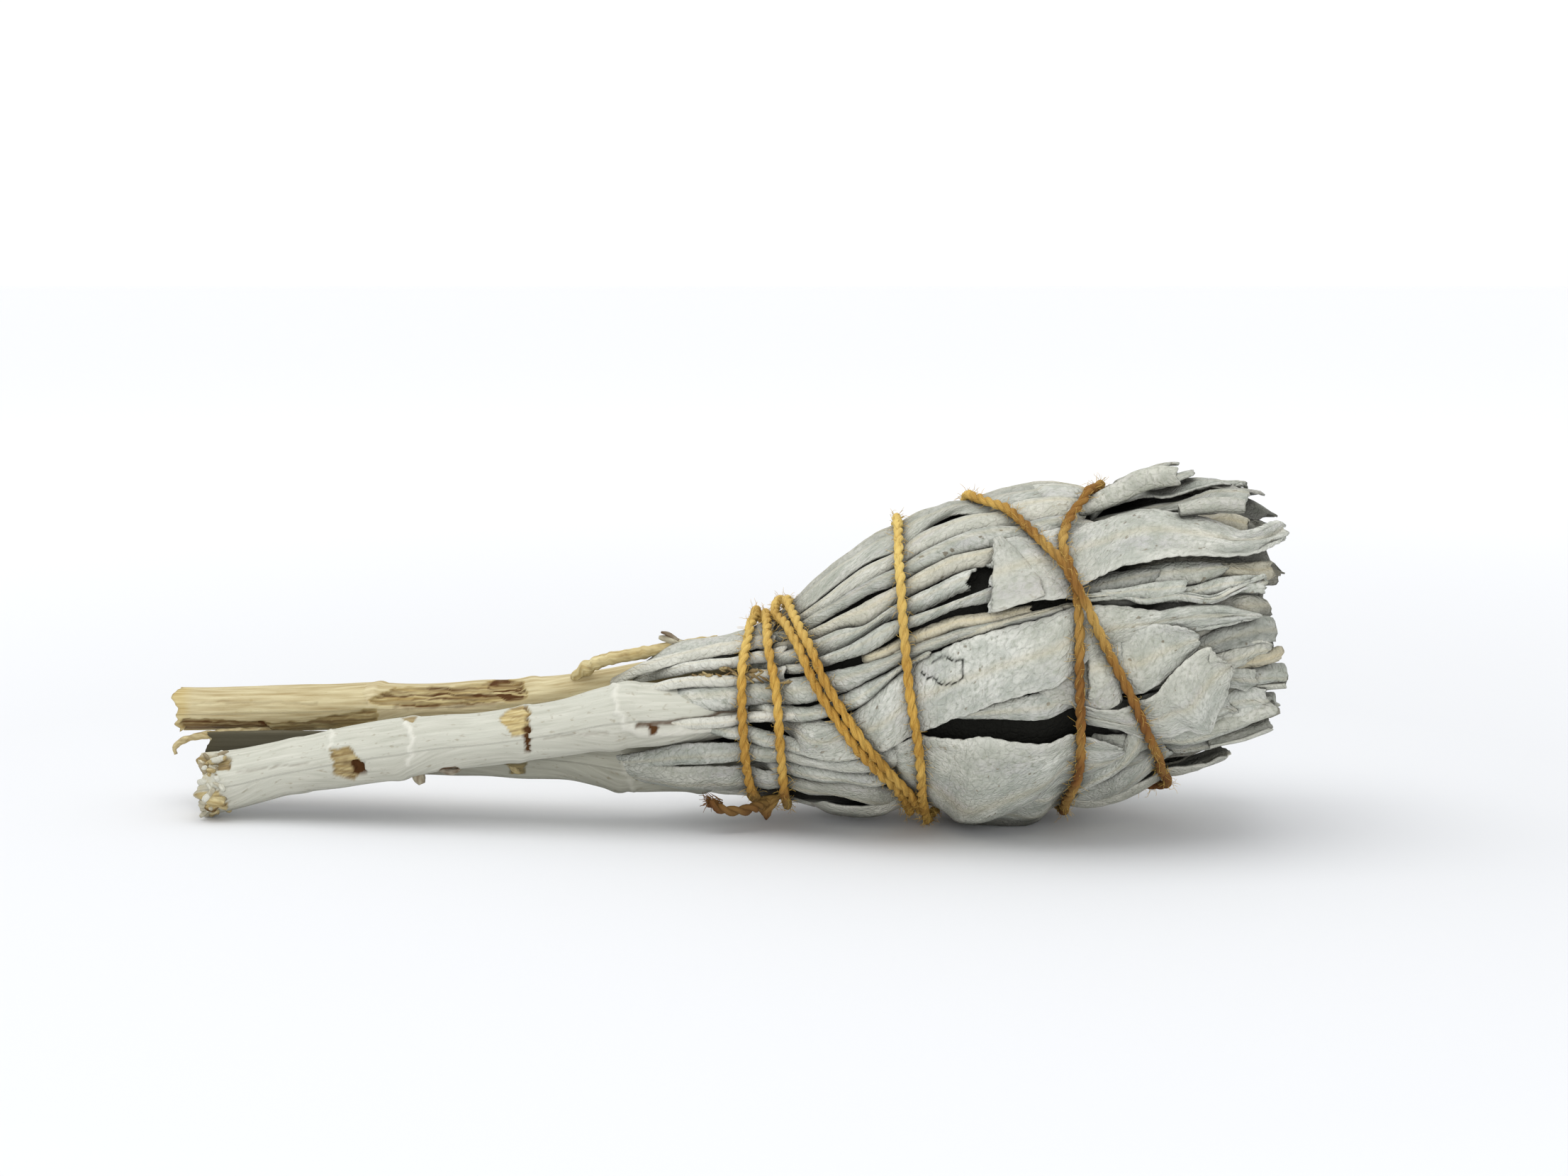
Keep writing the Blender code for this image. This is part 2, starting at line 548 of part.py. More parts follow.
def make_object(name, solid, collection):
    """A mesh object in metres from points and faces in millimetres, with its faces pointing out."""
    points, faces = solid
    mesh = bpy.data.meshes.new(name)
    mesh.from_pydata([p * MM for p in points], [], faces)
    shape = bmesh.new()
    shape.from_mesh(mesh)
    bmesh.ops.recalc_face_normals(shape, faces=shape.faces)
    if shape.calc_volume(signed=True) < 0:
        bmesh.ops.reverse_faces(shape, faces=shape.faces)
    shape.to_mesh(mesh)
    shape.free()
    obj = bpy.data.objects.new(name, mesh)
    collection.objects.link(obj)
    return obj


def largest_body(mesh):
    """Keeps the outer skin of the largest body, which fills sealed hollows, and drops loose scraps."""
    shape = bmesh.new()
    shape.from_mesh(mesh)
    bmesh.ops.triangulate(shape, faces=shape.faces)
    left = set(shape.faces)
    bodies = []
    while left:
        start = left.pop()
        body = {start}
        waiting = [start]
        while waiting:
            face = waiting.pop()
            for edge in face.edges:
                for near in edge.link_faces:
                    if near in left:
                        left.discard(near)
                        body.add(near)
                        waiting.append(near)
        bodies.append(body)
    bodies.sort(key=len)
    for body in bodies[:-1]:
        bmesh.ops.delete(shape, geom=list(body), context="FACES")
    loose = [v for v in shape.verts if not v.link_faces]
    bmesh.ops.delete(shape, geom=loose, context="VERTS")
    shape.to_mesh(mesh)
    shape.free()
    return [len(body) for body in bodies[:-1]]


def fuse(name, solids, material, cutter=None):
    """Joins solids that run into each other into one body, by one union on a collection, less a cutter."""
    parts = bpy.data.collections.new(name + "_parts")
    bpy.context.scene.collection.children.link(parts)
    for k, solid in enumerate(solids[1:]):
        make_object(f"{name}_piece_{k}", solid, parts)
    body = make_object(name, solids[0], bpy.context.scene.collection)
    union = body.modifiers.new("union", "BOOLEAN")
    union.operation = "UNION"
    union.operand_type = "COLLECTION"
    union.collection = parts
    union.solver = "MANIFOLD"
    if cutter:
        wedge = make_object(name + "_cutter", cutter, bpy.context.scene.collection)
        cut = body.modifiers.new("cut", "BOOLEAN")
        cut.operation = "DIFFERENCE"
        cut.object = wedge
        cut.solver = "MANIFOLD"
    view = bpy.context.evaluated_depsgraph_get()
    joined = bpy.data.meshes.new_from_object(body.evaluated_get(view))
    body.modifiers.clear()
    body.data = joined
    for obj in list(parts.objects):
        bpy.data.objects.remove(obj)
    bpy.data.collections.remove(parts)
    if cutter:
        bpy.data.objects.remove(wedge)
    scraps = largest_body(joined)
    print(name, "triangles", len(joined.polygons), "scraps", scraps)
    joined.name = name
    joined.materials.clear()
    joined.materials.append(material)
    joined.shade_smooth()
    joined.set_sharp_from_angle(angle=math.radians(35))
    return body


def simple_material(name, colour, roughness):
    """A plain material of one colour."""
    material = bpy.data.materials.new(name)
    material.use_nodes = True
    shader = material.node_tree.nodes["Principled BSDF"]
    shader.inputs["Base Color"].default_value = colour
    shader.inputs["Roughness"].default_value = roughness
    return material


def front_sprig():
    solids = [stem_solid(FRONT_STEM, 1), core_solid("front")]
    for k, spec in enumerate(FRONT_LEAVES):
        solids.append(front_leaf("front", FRONT_STEM, spec, 10 + k))
    for k, level in enumerate((-7, -12)):
        solids.append(wrapped_leaf("front", FRONT_STEM, 2, 11 - 3 * k, level, 60, 94 - 3 * k, 40 + k, 7, 3))
    return solids


def back_sprig():
    solids = [stem_solid(BACK_STEM, 2), core_solid("back")]
    for k, spec in enumerate(BACK_LEAVES):
        solids.append(front_leaf("back", BACK_STEM, spec, 60 + k))
    for k, end in enumerate((92, 97, 90, 95)):
        angle = 100 + 20 * k
        solids.append(wrapped_leaf("back", BACK_STEM, angle, 13.5, -1.0 * (k % 2), 4 * (k % 2) - 9, end, 80 + k))
    for k in range(3):
        solids.append(wrapped_leaf("back", BACK_STEM, 108 + 24 * k, 12, -3, 46, 98 - 2 * k, 90 + k, 7, 3))
    solids += inner_leaves("back", BACK_STEM, 100)
    return solids


def low_sprig():
    solids = [stem_solid(LOW_STEM, 3), core_solid("low")]
    for k, spec in enumerate(LOW_LEAVES):
        solids.append(front_leaf("low", LOW_STEM, spec, 120 + k))
    for k, end in enumerate((94, 90, 97, 92, 88, 84)):
        angle = -170 + 20 * k
        under = k % 2
        stations = GROOVE_STATIONS if k > 2 else None
        across = 4 if angle == RESTING_ANGLE else 3
        solids.append(wrapped_leaf("low", LOW_STEM, angle, 13.5, 0.1 - 1.1 * under, 4 * under - 9, end, 140 + k,
                                   across=across, layer=under, stations=stations))
    for k in range(4):
        solids.append(wrapped_leaf("low", LOW_STEM, -165 + 33 * k, 12, -3.2, 50, 97 - 2 * k, 150 + k, 7, 3, 2))
    solids += inner_leaves("low", LOW_STEM, 160)
    return solids


def inner_leaves(name, stem, seed):
    """Rolled leaves in rings inside the open end of the bundle."""
    leaves = []
    for ring, level in enumerate((-7, -13, -19)):
        low, high = sector(name, 85)
        count = (3, 2, 1)[ring]
        for k in range(count):
            angle = low + (high - low) * (k + 0.5) / count
            end = 95 - 2.5 * ring - 3 * ((k + ring) % 2)
            width = 13 - 1.5 * ring
            leaves.append(wrapped_leaf(name, stem, angle, width, level, 60, end, seed + 10 * ring + k, 7, 3))
    return leaves


def string_route():
    """The string's way as turned angle and x, from the knot round the bundle and back to it."""
    route = [(KNOT_TURN, NECK_X + 1.3)]
    for turn, run in enumerate(STRING_RUNS):
        behind = STRING_BOTTOMS[turn - 1] if turn else NECK_X
        top = STRING_TOPS[turn]
        route.append((360.0 * turn + 180 - TOP_REACH, top + TOP_SHARE * (behind - top)))
        route.append((360.0 * turn + 180, top))
        for seen in run:
            x, angle = sight_to_bundle(seen)
            if abs(angle) < 70:
                route.append((360.0 * turn + 270 - angle, x))
        if turn < len(STRING_BOTTOMS):
            route.append((360.0 * (turn + 1), STRING_BOTTOMS[turn]))
    route.append((360.0 * len(STRING_RUNS) + KNOT_TURN, NECK_X - 1.3))
    return curve_through(route), route[0][0], route[-1][0]


def string_path(trees):
    """The middle line of the string, drawn tight over the leaves and over what was wound before."""
    x_at, start, end = string_route()
    turned = [start]
    while turned[-1] < end:
        x = x_at(turned[-1])
        slope = (x_at(turned[-1] + 2) - x) / 2
        arc = math.hypot(math.radians(1) * half_height(x), slope)
        turned.append(turned[-1] + STRING_STEP / arc)
    turned[-1] = end
    places = []
    for turn in turned:
        x = x_at(turn)
        outward = on_bundle(x, 270 - turn, 0) - on_bundle(x, 270 - turn, -4)
        places.append((Vector((x, 0, middle_height(x))), outward.normalized()))
    lift = STRING_RADIUS + CLEARANCE + 0.05
    least = [highest_leaf(trees, middle, outward) + lift for middle, outward in places]
    reach = list(least)
    for _ in range(4):
        for _ in range(60):
            for i in range(1, len(reach) - 1):
                before = places[i - 1][0] + places[i - 1][1] * reach[i - 1]
                after = places[i + 1][0] + places[i + 1][1] * reach[i + 1]
                chord = (0.5 * (before + after) - places[i][0]).dot(places[i][1])
                reach[i] = max(least[i], chord)
        path = [middle + outward * r for (middle, outward), r in zip(places, reach)]
        for place in path:
            place.z = max(place.z, STRING_LOWEST)
        for i in range(len(path)):
            for j in range(i - 12):
                gap = path[i] - path[j]
                if gap.length < 8 and abs(turned[i] - turned[j]) > 200:
                    flat = gap - places[i][1] * gap.dot(places[i][1])
                    if flat.length < STRING_STEP * 0.75 and crosses(path, i, j):
                        least[i] = max(least[i], (path[j] - places[i][0]).dot(places[i][1]) + CROSSING_RISE)
        for i in range(1, len(path) - 1):
            least[i] += too_near(trees, path, i)
    return path


def too_near(trees, path, i):
    """How much farther out the string has to lie here to be clear of the leaves."""
    want = STRING_RADIUS + CLEARANCE
    worst = 0.0
    for k in range(-3, 4):
        place = path[i].lerp(path[i + 1 if k > 0 else i - 1], abs(k) / 6)
        for tree in trees:
            _, _, _, distance = tree.find_nearest(place, want)
            if distance is not None:
                worst = max(worst, want - distance)
    return worst


def crosses(path, i, j):
    """Whether the string near point i runs across the string near point j, and not beside it."""
    ahead = (path[min(i + 1, len(path) - 1)] - path[i - 1]).normalized()
    other = (path[j + 1] - path[max(j - 1, 0)]).normalized()
    return ahead.cross(other).length > 0.25


def highest_leaf(trees, middle, outward):
    """How far out the leaves reach along this direction and just beside it."""
    best = 0.0
    beside = outward.cross(Vector((1, 0, 0)))
    for step_x in (-0.8, 0, 0.8):
        for step_side in (-0.8, 0, 0.8):
            start = middle + Vector((step_x, 0, 0)) + beside * step_side + outward * 60
            for tree in trees:
                place, _, _, _ = tree.ray_cast(start, -outward, 60)
                if place is not None:
                    best = max(best, (place - middle).dot(outward))
    return best


def string_solids(sprigs):
    trees = []
    for sprig in sprigs:
        points = [v.co / MM for v in sprig.data.vertices]
        trees.append(BVHTree.FromPolygons(points, [tuple(f.vertices) for f in sprig.data.polygons]))
    path = string_path(trees)
    solids = [tube_solid(path, [STRING_RADIUS] * len(path), STRING_SIDES)]
    knot = 0.5 * (path[0] + path[-1]) - Vector((0, 0, KNOT_DROP))
    knot_path = [knot + Vector((step, 0, 0)) for step, _ in KNOT_SHAPE]
    solids.append(tube_solid(knot_path, [radius for _, radius in KNOT_SHAPE], KNOT_SIDES))
    tail = [knot + Vector(step[:3]) for step in TAIL_STEPS]
    solids.append(tube_solid(tail, [step[3] for step in TAIL_STEPS], STRING_SIDES))
    return solids


def main():
    for obj in list(bpy.data.objects):
        bpy.data.objects.remove(obj)
    leaf = simple_material("sage_leaf", LEAF_COLOUR, 0.85)
    cotton = simple_material("cotton_string", STRING_COLOUR, 0.9)
    sprigs = [
        fuse("sprig_front", front_sprig(), leaf, sector_cutter("front")),
        fuse("sprig_back", back_sprig(), leaf, sector_cutter("back")),
        fuse("sprig_low", low_sprig(), leaf, sector_cutter("low")),
    ]
    string = fuse("string_tie", string_solids(sprigs), cotton)
    for obj in sprigs + [string]:
        obj.location = (SET_DOWN[0] * MM, SET_DOWN[1] * MM, 0)


main()
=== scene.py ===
"""The looks of a white sage smudge stick: leaves, stems and the cotton string that binds them.

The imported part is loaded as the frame, and finer pieces stand for its nodes. Lengths in the tables are in
millimetres, in the part's own drawing frame, and become metres when a mesh is made. Places on the front are
given as seen from the camera and carried back onto the bundle along the line of sight.
"""

import bisect
import math
import random
from math import cos, pi, sin

import bmesh
import bpy
import numpy as np
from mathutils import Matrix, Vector
from mathutils.bvhtree import BVHTree
from mathutils.noise import noise

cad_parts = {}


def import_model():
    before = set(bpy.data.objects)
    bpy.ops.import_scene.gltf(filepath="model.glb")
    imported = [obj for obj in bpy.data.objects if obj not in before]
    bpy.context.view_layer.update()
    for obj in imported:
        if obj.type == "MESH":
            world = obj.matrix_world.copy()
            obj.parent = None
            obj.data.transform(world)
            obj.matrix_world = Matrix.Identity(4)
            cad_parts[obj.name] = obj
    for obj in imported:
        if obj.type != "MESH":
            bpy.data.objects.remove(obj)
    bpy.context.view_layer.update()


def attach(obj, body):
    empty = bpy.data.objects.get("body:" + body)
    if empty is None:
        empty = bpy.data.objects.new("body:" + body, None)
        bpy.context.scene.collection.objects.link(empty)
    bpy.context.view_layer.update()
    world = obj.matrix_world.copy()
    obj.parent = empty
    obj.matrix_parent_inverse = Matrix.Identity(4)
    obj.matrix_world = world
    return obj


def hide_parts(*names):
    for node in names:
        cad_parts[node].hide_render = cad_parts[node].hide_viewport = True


MM = 0.001
# How far the pieces move along x and y, from the drawing frame to the part's own.
SET_DOWN = (0.1, 0.2)

# The camera looks along +Y from a little above, at this point and from this far away.
SIGHT_DISTANCE = 450.0
SIGHT_ANGLE = math.radians(7.0)
SIGHT_X = 9.8
SIGHT_Z = 41.7
VIEW_WIDTH = 279.8
VIEW_MIDDLE = 42.01
SENSOR_WIDTH = 36.0
# Light from the front and from behind, the point that the lamps face, in metres, and half the floor's side.
WORLD_FRONT = 0.5
WORLD_BACK = 1.03
LIGHT_TARGET = (0.02, 0, 0.02)
FLOOR_HALF = 30.0
# In metres: the depth of the fine relief, and how near leaves have to be for the painted shade in the
# creases between them.
RELIEF_DEPTH = 0.0002
PAINTED_SHADE_REACH = 0.0035

# Cross-section of the bundle along x: bottom and top, and half depth.
BOTTOM_LINE = [
    (-26, 7), (-10, 5), (3, 4.2), (12, 2.6), (22, 1.9), (27, 2.4), (30, 3.4), (38, 3.2), (41, 1.2),
    (44, 0.2), (52, 0.2), (55, 1.2), (57.5, 3.2), (61.5, 3.4), (68, 4.6), (76, 8), (87, 12), (98, 17),
]
TOP_LINE = [
    (-26, 27.5), (-10, 31.5), (0, 33.5), (3, 34.8), (10, 37.6), (20, 45.8), (31, 53), (45, 57.6), (57, 59.4),
    (66, 58.3), (76, 60), (87, 60), (98, 57),
]
HALF_DEPTH_LINE = [
    (-26, 12), (-10, 13.5), (3, 16), (10, 18), (20, 22.5), (31, 26.5), (45, 30), (57, 31), (66, 30),
    (76, 29), (87, 27), (98, 24),
]
CORE_DEPTH_LINE = [(-9, 11.5), (2, 9), (12, 5.6), (20, 4.6), (45, 4.6), (60, 6), (70, 11), (78, 19)]

# The middles of the three stems' share of the bundle, where their leaves are rooted.
STEM_ANGLES = {"front": 10.0, "back": 110.0, "low": 250.0}

# Stems: x, sideways place, height and radius along each.
FRONT_STEM = [
    (-95.3, 3, 5.8, 5.8), (-88.5, 2.3, 7, 5.5), (-80.2, 1.2, 9.1, 5.1), (-75.1, 0.5, 10.2, 5.2),
    (-67.9, -0.8, 11.8, 5.5), (-59.7, -2, 13.2, 5.6), (-51.5, -3.4, 14.6, 5.1), (-44.5, -4.5, 15.4, 4.9),
    (-36.4, -5.6, 16.6, 5), (-29.4, -6.5, 17.9, 5.2), (-19.5, -8, 20.1, 5.7), (-9.7, -8.6, 20.6, 5.4),
    (-2.9, -8.9, 20.8, 4.7), (3, -9.1, 21.3, 3.6), (10, -9.5, 21.8, 3),
]
BACK_STEM = [
    (-102.6, 17, 17, 4.25), (-91.5, 16, 17.3, 4.3), (-77.7, 14.5, 17.9, 4.3), (-67.2, 13.2, 18.5, 4.3),
    (-56.7, 11.6, 19, 3.9), (-46.2, 10, 19.7, 4), (-35.8, 8, 20.6, 4), (-25.5, 6.2, 22.2, 3.9),
    (-15.2, 4.8, 24.3, 3.8), (-5.1, 3.5, 26, 3.6), (3, 3, 27, 3.2), (10, 3, 28, 3),
]
LOW_STEM = [
    (-96.2, 12, 9.9, 4), (-86.2, 10.8, 10.2, 4), (-76.9, 10, 10.4, 4), (-61.2, 8, 10.7, 4),
    (-50.8, 6, 11.1, 4.2), (-40.5, 4.2, 11.2, 4.4), (-30.2, 2.5, 11.2, 4.5), (-19, 0.2, 10.1, 5),
    (-12, -0.6, 10, 4.8), (-5, -1, 10, 4.8), (3, -0.6, 10, 4.2), (10, 0, 10.4, 3.6),
]
STEMS = {"front": FRONT_STEM, "back": BACK_STEM, "low": LOW_STEM}

# String: thickness, its two strands and their lay, steps along it, gap to the leaves, fibres, and its runs
# down the front as seen, in the order of winding.
STRING_RADIUS = 0.86
STRAND_RADIUS = 0.54
STRAND_OFFSET = 0.35
STRAND_SIDES = 9
LAY_LENGTH = 5.4
TWINE_STEP = 0.5
STRING_STEP = 2.0
STRING_GAP = 0.05
FIBRE_COUNT = 3300
FIBRE_RADIUS = 0.045
TAIL_FIBRES = 46
NECK_X = 6.5
KNOT_TURN = -14.0
STRING_RUNS = [
    [(6.6, 35), (7, 30), (8, 25), (8.7, 20), (9, 15), (9.4, 10), (9.8, 5)],
    [(10.3, 36.6), (12.3, 34), (14.5, 30), (16.9, 25), (20.1, 20), (24.7, 14), (29.1, 9), (33.1, 5)],
    [(30.2, 49), (30.3, 45), (30.7, 40), (31, 35), (31.5, 30), (32, 25), (32.8, 20), (33.8, 15), (34.4, 10),
         (34.8, 5)],
    [(63.5, 55), (60.6, 52), (59.4, 48), (60, 45), (61.5, 41), (62.3, 36), (62.5, 28), (62.8, 22), (63, 17),
         (62.6, 10), (60.8, 4)],
    [(45, 56), (50, 54.4), (52.5, 52), (55, 48.8), (57.5, 45.5), (60, 42), (64.5, 35), (67.5, 30), (70, 26),
         (73, 21), (76, 15), (77.6, 11)],
    [(8.3, 36.6), (10.2, 34), (12.4, 30), (14.8, 25), (18, 20), (22.6, 14), (27, 9), (31, 5)],
    [(4.3, 34), (3.2, 31), (2.4, 27), (2.2, 22), (2.4, 17), (2.8, 12), (3.6, 7)],
]
STRING_TOPS = [6.6, 10.4, 30.0, 66.0, 43.0, 8.2, 4.4]
STRING_BOTTOMS = [10.4, 34.2, 36.8, 59.3, 75.5, 31.6]
TOP_REACH = 40.0
TOP_SHARE = 0.06
# The tail as seen, with its depth.
TAIL_STOPS = [(4.2, 2.0, -10.5), (1.6, 1.5, -12), (-1.2, 1.7, -12.8), (-3.6, 3.0, -13)]
PINCH_DEPTH = 0.7
PINCH_WIDTH = 2.6

# Leaves: thickness, places where one is measured, length of one row and size of the small teeth along
# their edges.
LEAF_THICKNESS = 0.48
LEAF_SAMPLES = 24
ROW_STEP = 0.85
TOOTH_LENGTH = 2.3
TOOTH_DEPTH = 0.22
EDGE_INSET = 0.22
# The dark hole beside the torn end of the long flap, and the cracked outline on the broad leaf.
HOLE = [
    (42.9, 40.9), (42.3, 42.6), (43.5, 44.7), (45.2, 45.8), (47.4, 45.4), (47.6, 43.6), (46.2, 42),
    (45, 41.2),
]
CRACK = [
    (34.6, 26.6), (35.5, 25.4), (36.7, 25.7), (37.9, 24.3), (40.2, 24.6), (41.9, 25.5), (41.7, 27.2),
    (41.9, 29), (40.1, 28.6), (38.8, 29.5), (36.6, 28.5),
]


def leaf(name, level, crown, upper, lower, **more):
    """One leaf: layer height, crown, and upper and lower edge as seen, with what sets it apart."""
    made = {
        "name": name,
        "level": level,
        "crown": crown,
        "upper": upper,
        "lower": lower,
        "lift": (0.0, 0.0),
        "crease": 0.0,
        "wave": 0.35,
        "tear": 0.8,
        "root": 0.16,
        "tint": (0.0, 0.0, 0.0),
        "holes": [],
        "cracks": [],
        "curl": 0.0,
        "ruffle": 0.8,
        "step": ROW_STEP,
        "across": 1.15,
        "seen": True,
    }
    made.update(more)
    return made


# In these tables each tint is how tan, dark and pale a leaf is; the dark share given to leaves that lie low,
# deep or under others is painted shade.
BACK_LEAVES = [
    leaf("crest", 0.0, 1.4, [(6, 38.4), (15, 43.8), (25, 50.6), (40, 58), (52, 61), (66, 60.6)],
        [(4, 35.8), (10, 36.6), (15, 39.2), (20, 43.2), (24, 46.2), (29, 49), (32, 50.4), (36, 53.2),
         (40, 55), (45, 55.9), (60, 57.6)]),
    leaf("rib_b", -0.5, 1.5, [(4, 35.2), (10, 36.1), (15, 38.8), (20, 42.8), (24, 45.8), (29, 48.6),
         (36, 52.8), (45, 55.6), (64, 57.4)], [(4, 34.4), (12, 35.8), (17, 38.2), (21, 41.2), (26, 44.2),
         (31, 47.2), (36, 49.8), (42, 52.4), (50, 53.8), (64, 54.6)], tint=(0.1, 0, 0.2)),
    leaf("rib_c", -0.2, 1.5, [(-12, 31.5), (2, 33), (12, 35.4), (17, 37.8), (21, 40.8), (26, 43.8),
         (31, 46.8), (36, 49.4), (42, 52), (50, 53.4), (64, 54.4)],
        [(-12, 29.6), (2, 31.6), (12, 34), (17, 36.4), (21, 38.8), (25, 41.2), (28, 42.4), (31, 43.9),
         (36, 46.1), (42, 48.6), (46, 49.7), (55, 51.1), (66, 51.8)]),
    leaf("rib_d", -0.5, 1.4, [(2, 31.2), (12, 33.8), (17, 35.8), (20, 37.4), (23, 39.0), (25, 40.2),
         (28, 41.8), (31, 43.5), (36, 45.9), (42, 48.4), (48, 49.6)],
        [(2, 29.4), (12, 32), (17, 33.8), (21, 35.2), (25, 35.9), (31, 40.4), (36, 42.8), (42, 45.6),
         (48, 47)], tint=(0.25, 0, 0.2)),
    leaf("rib_e", -0.3, 1.5, [(1, 29), (12, 31.7), (17, 33.4), (21, 34.9), (25, 35.5), (31, 40), (36, 42.3),
         (42, 45.1), (50, 47.4)], [(1, 27.6), (12, 28.6), (16, 29.8), (20, 31.2), (24, 33.4), (28, 36.2),
         (31, 37.1), (34, 37.9), (38, 39.7), (42, 41.4), (47, 42.4)], holes=[HOLE], step=0.5, across=0.5),
    leaf("fold", 0.3, 1.6, [(6, 27.8), (13, 28.4), (20, 30.8), (24, 33), (28, 35.6), (31, 36.5), (35, 37.5),
         (40, 39.2), (45, 41.2), (50, 43)], [(6, 26.4), (16, 27.6), (22, 29.2), (26, 30.8), (31, 34.3),
         (34, 35.3), (38, 37), (42, 38.5), (48, 39.6)]),
    leaf("tan_strip", -0.7, 0.9, [(20, 29), (26, 30.6), (31, 33.4), (37, 35.8), (42, 37.2), (47, 37.8),
         (54, 39)], [(20, 27.6), (26, 28.6), (31, 30.8), (37, 33), (42, 34.6), (48, 35.4), (54, 37.2)],
        tint=(0.55, 0, 0)),
    leaf("dark_strip_up", -0.5, 0.8, [(24, 28.8), (31, 31), (38, 33.4), (44, 35), (50, 36.6), (56, 38),
         (62, 39.4)], [(24, 27.4), (31, 29), (38, 31.4), (44, 33.2), (50, 35.2), (56, 36.8), (62, 38.6)],
        tint=(0.25, 0, 0)),
    leaf("long_flap", [(46, 1.5), (54, 1.1), (70, 0.9), (99, 0.3)], 0.9,
        [(47, 48.8), (50, 50), (55, 51), (60, 52.4), (65, 53.2), (70, 54.6), (74, 55.4), (78, 55), (83, 54),
         (88, 52.5), (91, 51.5), (95, 52.1), (98.6, 53.1)],
        [(46.6, 36.6), (50, 37.8), (55, 38.9), (60, 39.6), (62, 41), (66, 43), (70, 44.8), (75, 45.6),
         (80, 46.4), (88, 46.8), (93, 47.2), (97, 48), (100.2, 48.8)], lift=(0.1, 0.7), crease=-0.2,
        wave=0.35, tear=1.6, step=0.55, across=0.6, root=0),
    leaf("flap_fold", [(46, 2.1), (57, 1.7)], 0.3, [(46.9, 48.9), (47.8, 49.4), (48.8, 49.6)],
        [(46.6, 36.5), (51, 37.7), (57, 39.9)], lift=(0.1, 0.3), wave=0.15, tear=0.5, root=0, step=0.5,
        across=0.6, tint=(0.05, 0, 0.15)),
    leaf("flap_shade", -0.8, 0.7, [(56, 42), (63, 43), (67, 44.4), (72, 45.6), (76.6, 45.8)],
        [(56, 39.4), (63, 40.5), (68, 41), (74, 42.2), (77, 43.6)], tint=(0, 0.32, 0), tear=0.5),
    leaf("flap_lining", -1.2, 0.8, [(64, 46), (76, 46.6), (82, 47), (88.4, 46.6)],
        [(64, 42), (78, 42.4), (84, 43), (88.6, 44.8)], tint=(0, 0.12, 0), tear=0.8),
    leaf("brown_end", -1.8, 0.9, [(70, 47), (80, 47.2), (88, 46.8), (97, 47.2)],
        [(70, 44), (80, 44.4), (88, 44.6), (95, 43.4), (97.6, 44.4)], tint=(0.35, 0.2, 0), tear=1.0),
    leaf("thin_edge", 0.2, 0.4, [(54, 41), (63, 40.7), (70, 41), (74, 40.1), (80, 40.9), (86, 40.3),
         (90, 42.1), (95.4, 44)], [(54, 38.8), (63, 39.5), (70, 39.7), (74, 38.8), (80, 39.5), (86, 38.8),
         (90, 40.5), (95, 42.6)], lift=(0.5, 0.1), wave=0.5, tear=0.5),
    leaf("folded_tip", 0.5, 0.8, [(64, 41.4), (72, 41.8), (77, 42.8), (81.8, 42.8)],
        [(64, 39.9), (72, 39.9), (76, 39.5), (81, 40.6)], wave=0.5, tear=0.6, curl=0.6),
    leaf("split_tip", -0.8, 0.9, [(70, 42), (80, 41.8), (84, 42.6), (88, 44.2), (96, 44.2)],
        [(70, 39.6), (80, 39.6), (86, 40.2), (90, 40.8), (96, 40.8)], wave=0.6, tear=1.4, curl=0.6),
    leaf("top_curl", [(50, 0.3), (64, 0.9), (70, 2.0), (76, 3.3), (80, 3.2)], 1.5,
        [(50, 60.8), (64, 61), (72, 63), (77, 64.4), (80.4, 63.6)],
        [(50, 57), (62, 57), (68, 58), (73, 57.8), (77, 59.2)], wave=0.3, lift=(1.0, 0.6), curl=0.5,
        tear=0.35, step=0.6, across=0.7),
    leaf("top_second", [(60, 0.2), (72, 1.2), (82, 2.0)], 0.8,
        [(60, 60.4), (70, 60.8), (78, 61.4), (83, 61.4)], [(60, 57.8), (70, 58), (76, 57.4), (82, 58.6)],
        wave=0.4, tear=0.4, lift=(0.3, 0.8), curl=0.5),
    leaf("top_third", [(60, -0.6), (76, 0.6), (92, 1.0)], 0.9,
        [(60, 58.8), (72, 58.8), (78, 59.4), (84, 60.8), (92.2, 61)],
        [(60, 56.6), (72, 56.8), (78, 56.8), (84, 58.6), (91.8, 58.4)], wave=0.4, tear=0.5, lift=(0.2, 0.9),
        curl=0.5),
    leaf("top_fourth", [(60, -1.6), (76, -0.7), (92, 0.1)], 0.9,
        [(60, 57), (76, 57), (82, 57.6), (86, 59), (92.4, 58.8)],
        [(60, 54.8), (76, 55.2), (82, 55.8), (86, 56.6), (92, 55.8)], wave=0.4, tear=0.6, lift=(0.3, 0.8),
        curl=0.4, tint=(0, 0.08, 0)),
    leaf("crumpled", [(60, -2.4), (84, -1.6), (92, -1.2)], 0.9,
        [(60, 56), (76, 55.2), (84, 55.8), (89, 56.4), (92.8, 54.6)],
        [(60, 52), (76, 51.8), (84, 52), (90, 52.2), (92.6, 51.8)], wave=0.9, tear=1.0, tint=(0.35, 0.1, 0)),
    leaf("dark_end", -3.0, 1.4, [(60, 50), (78, 50), (90, 49), (95.6, 47.6)],
        [(60, 44), (78, 44.6), (90, 44.6), (96, 45)], tint=(0.2, 0.35, 0), tear=1.2),
    leaf("deep_end", -2.4, 1.4, [(60, 44), (78, 44), (88, 44), (94.6, 43.6)],
        [(60, 39), (78, 39.6), (88, 39.4), (94, 40)], tint=(0, 0.2, 0), tear=1.2),
]
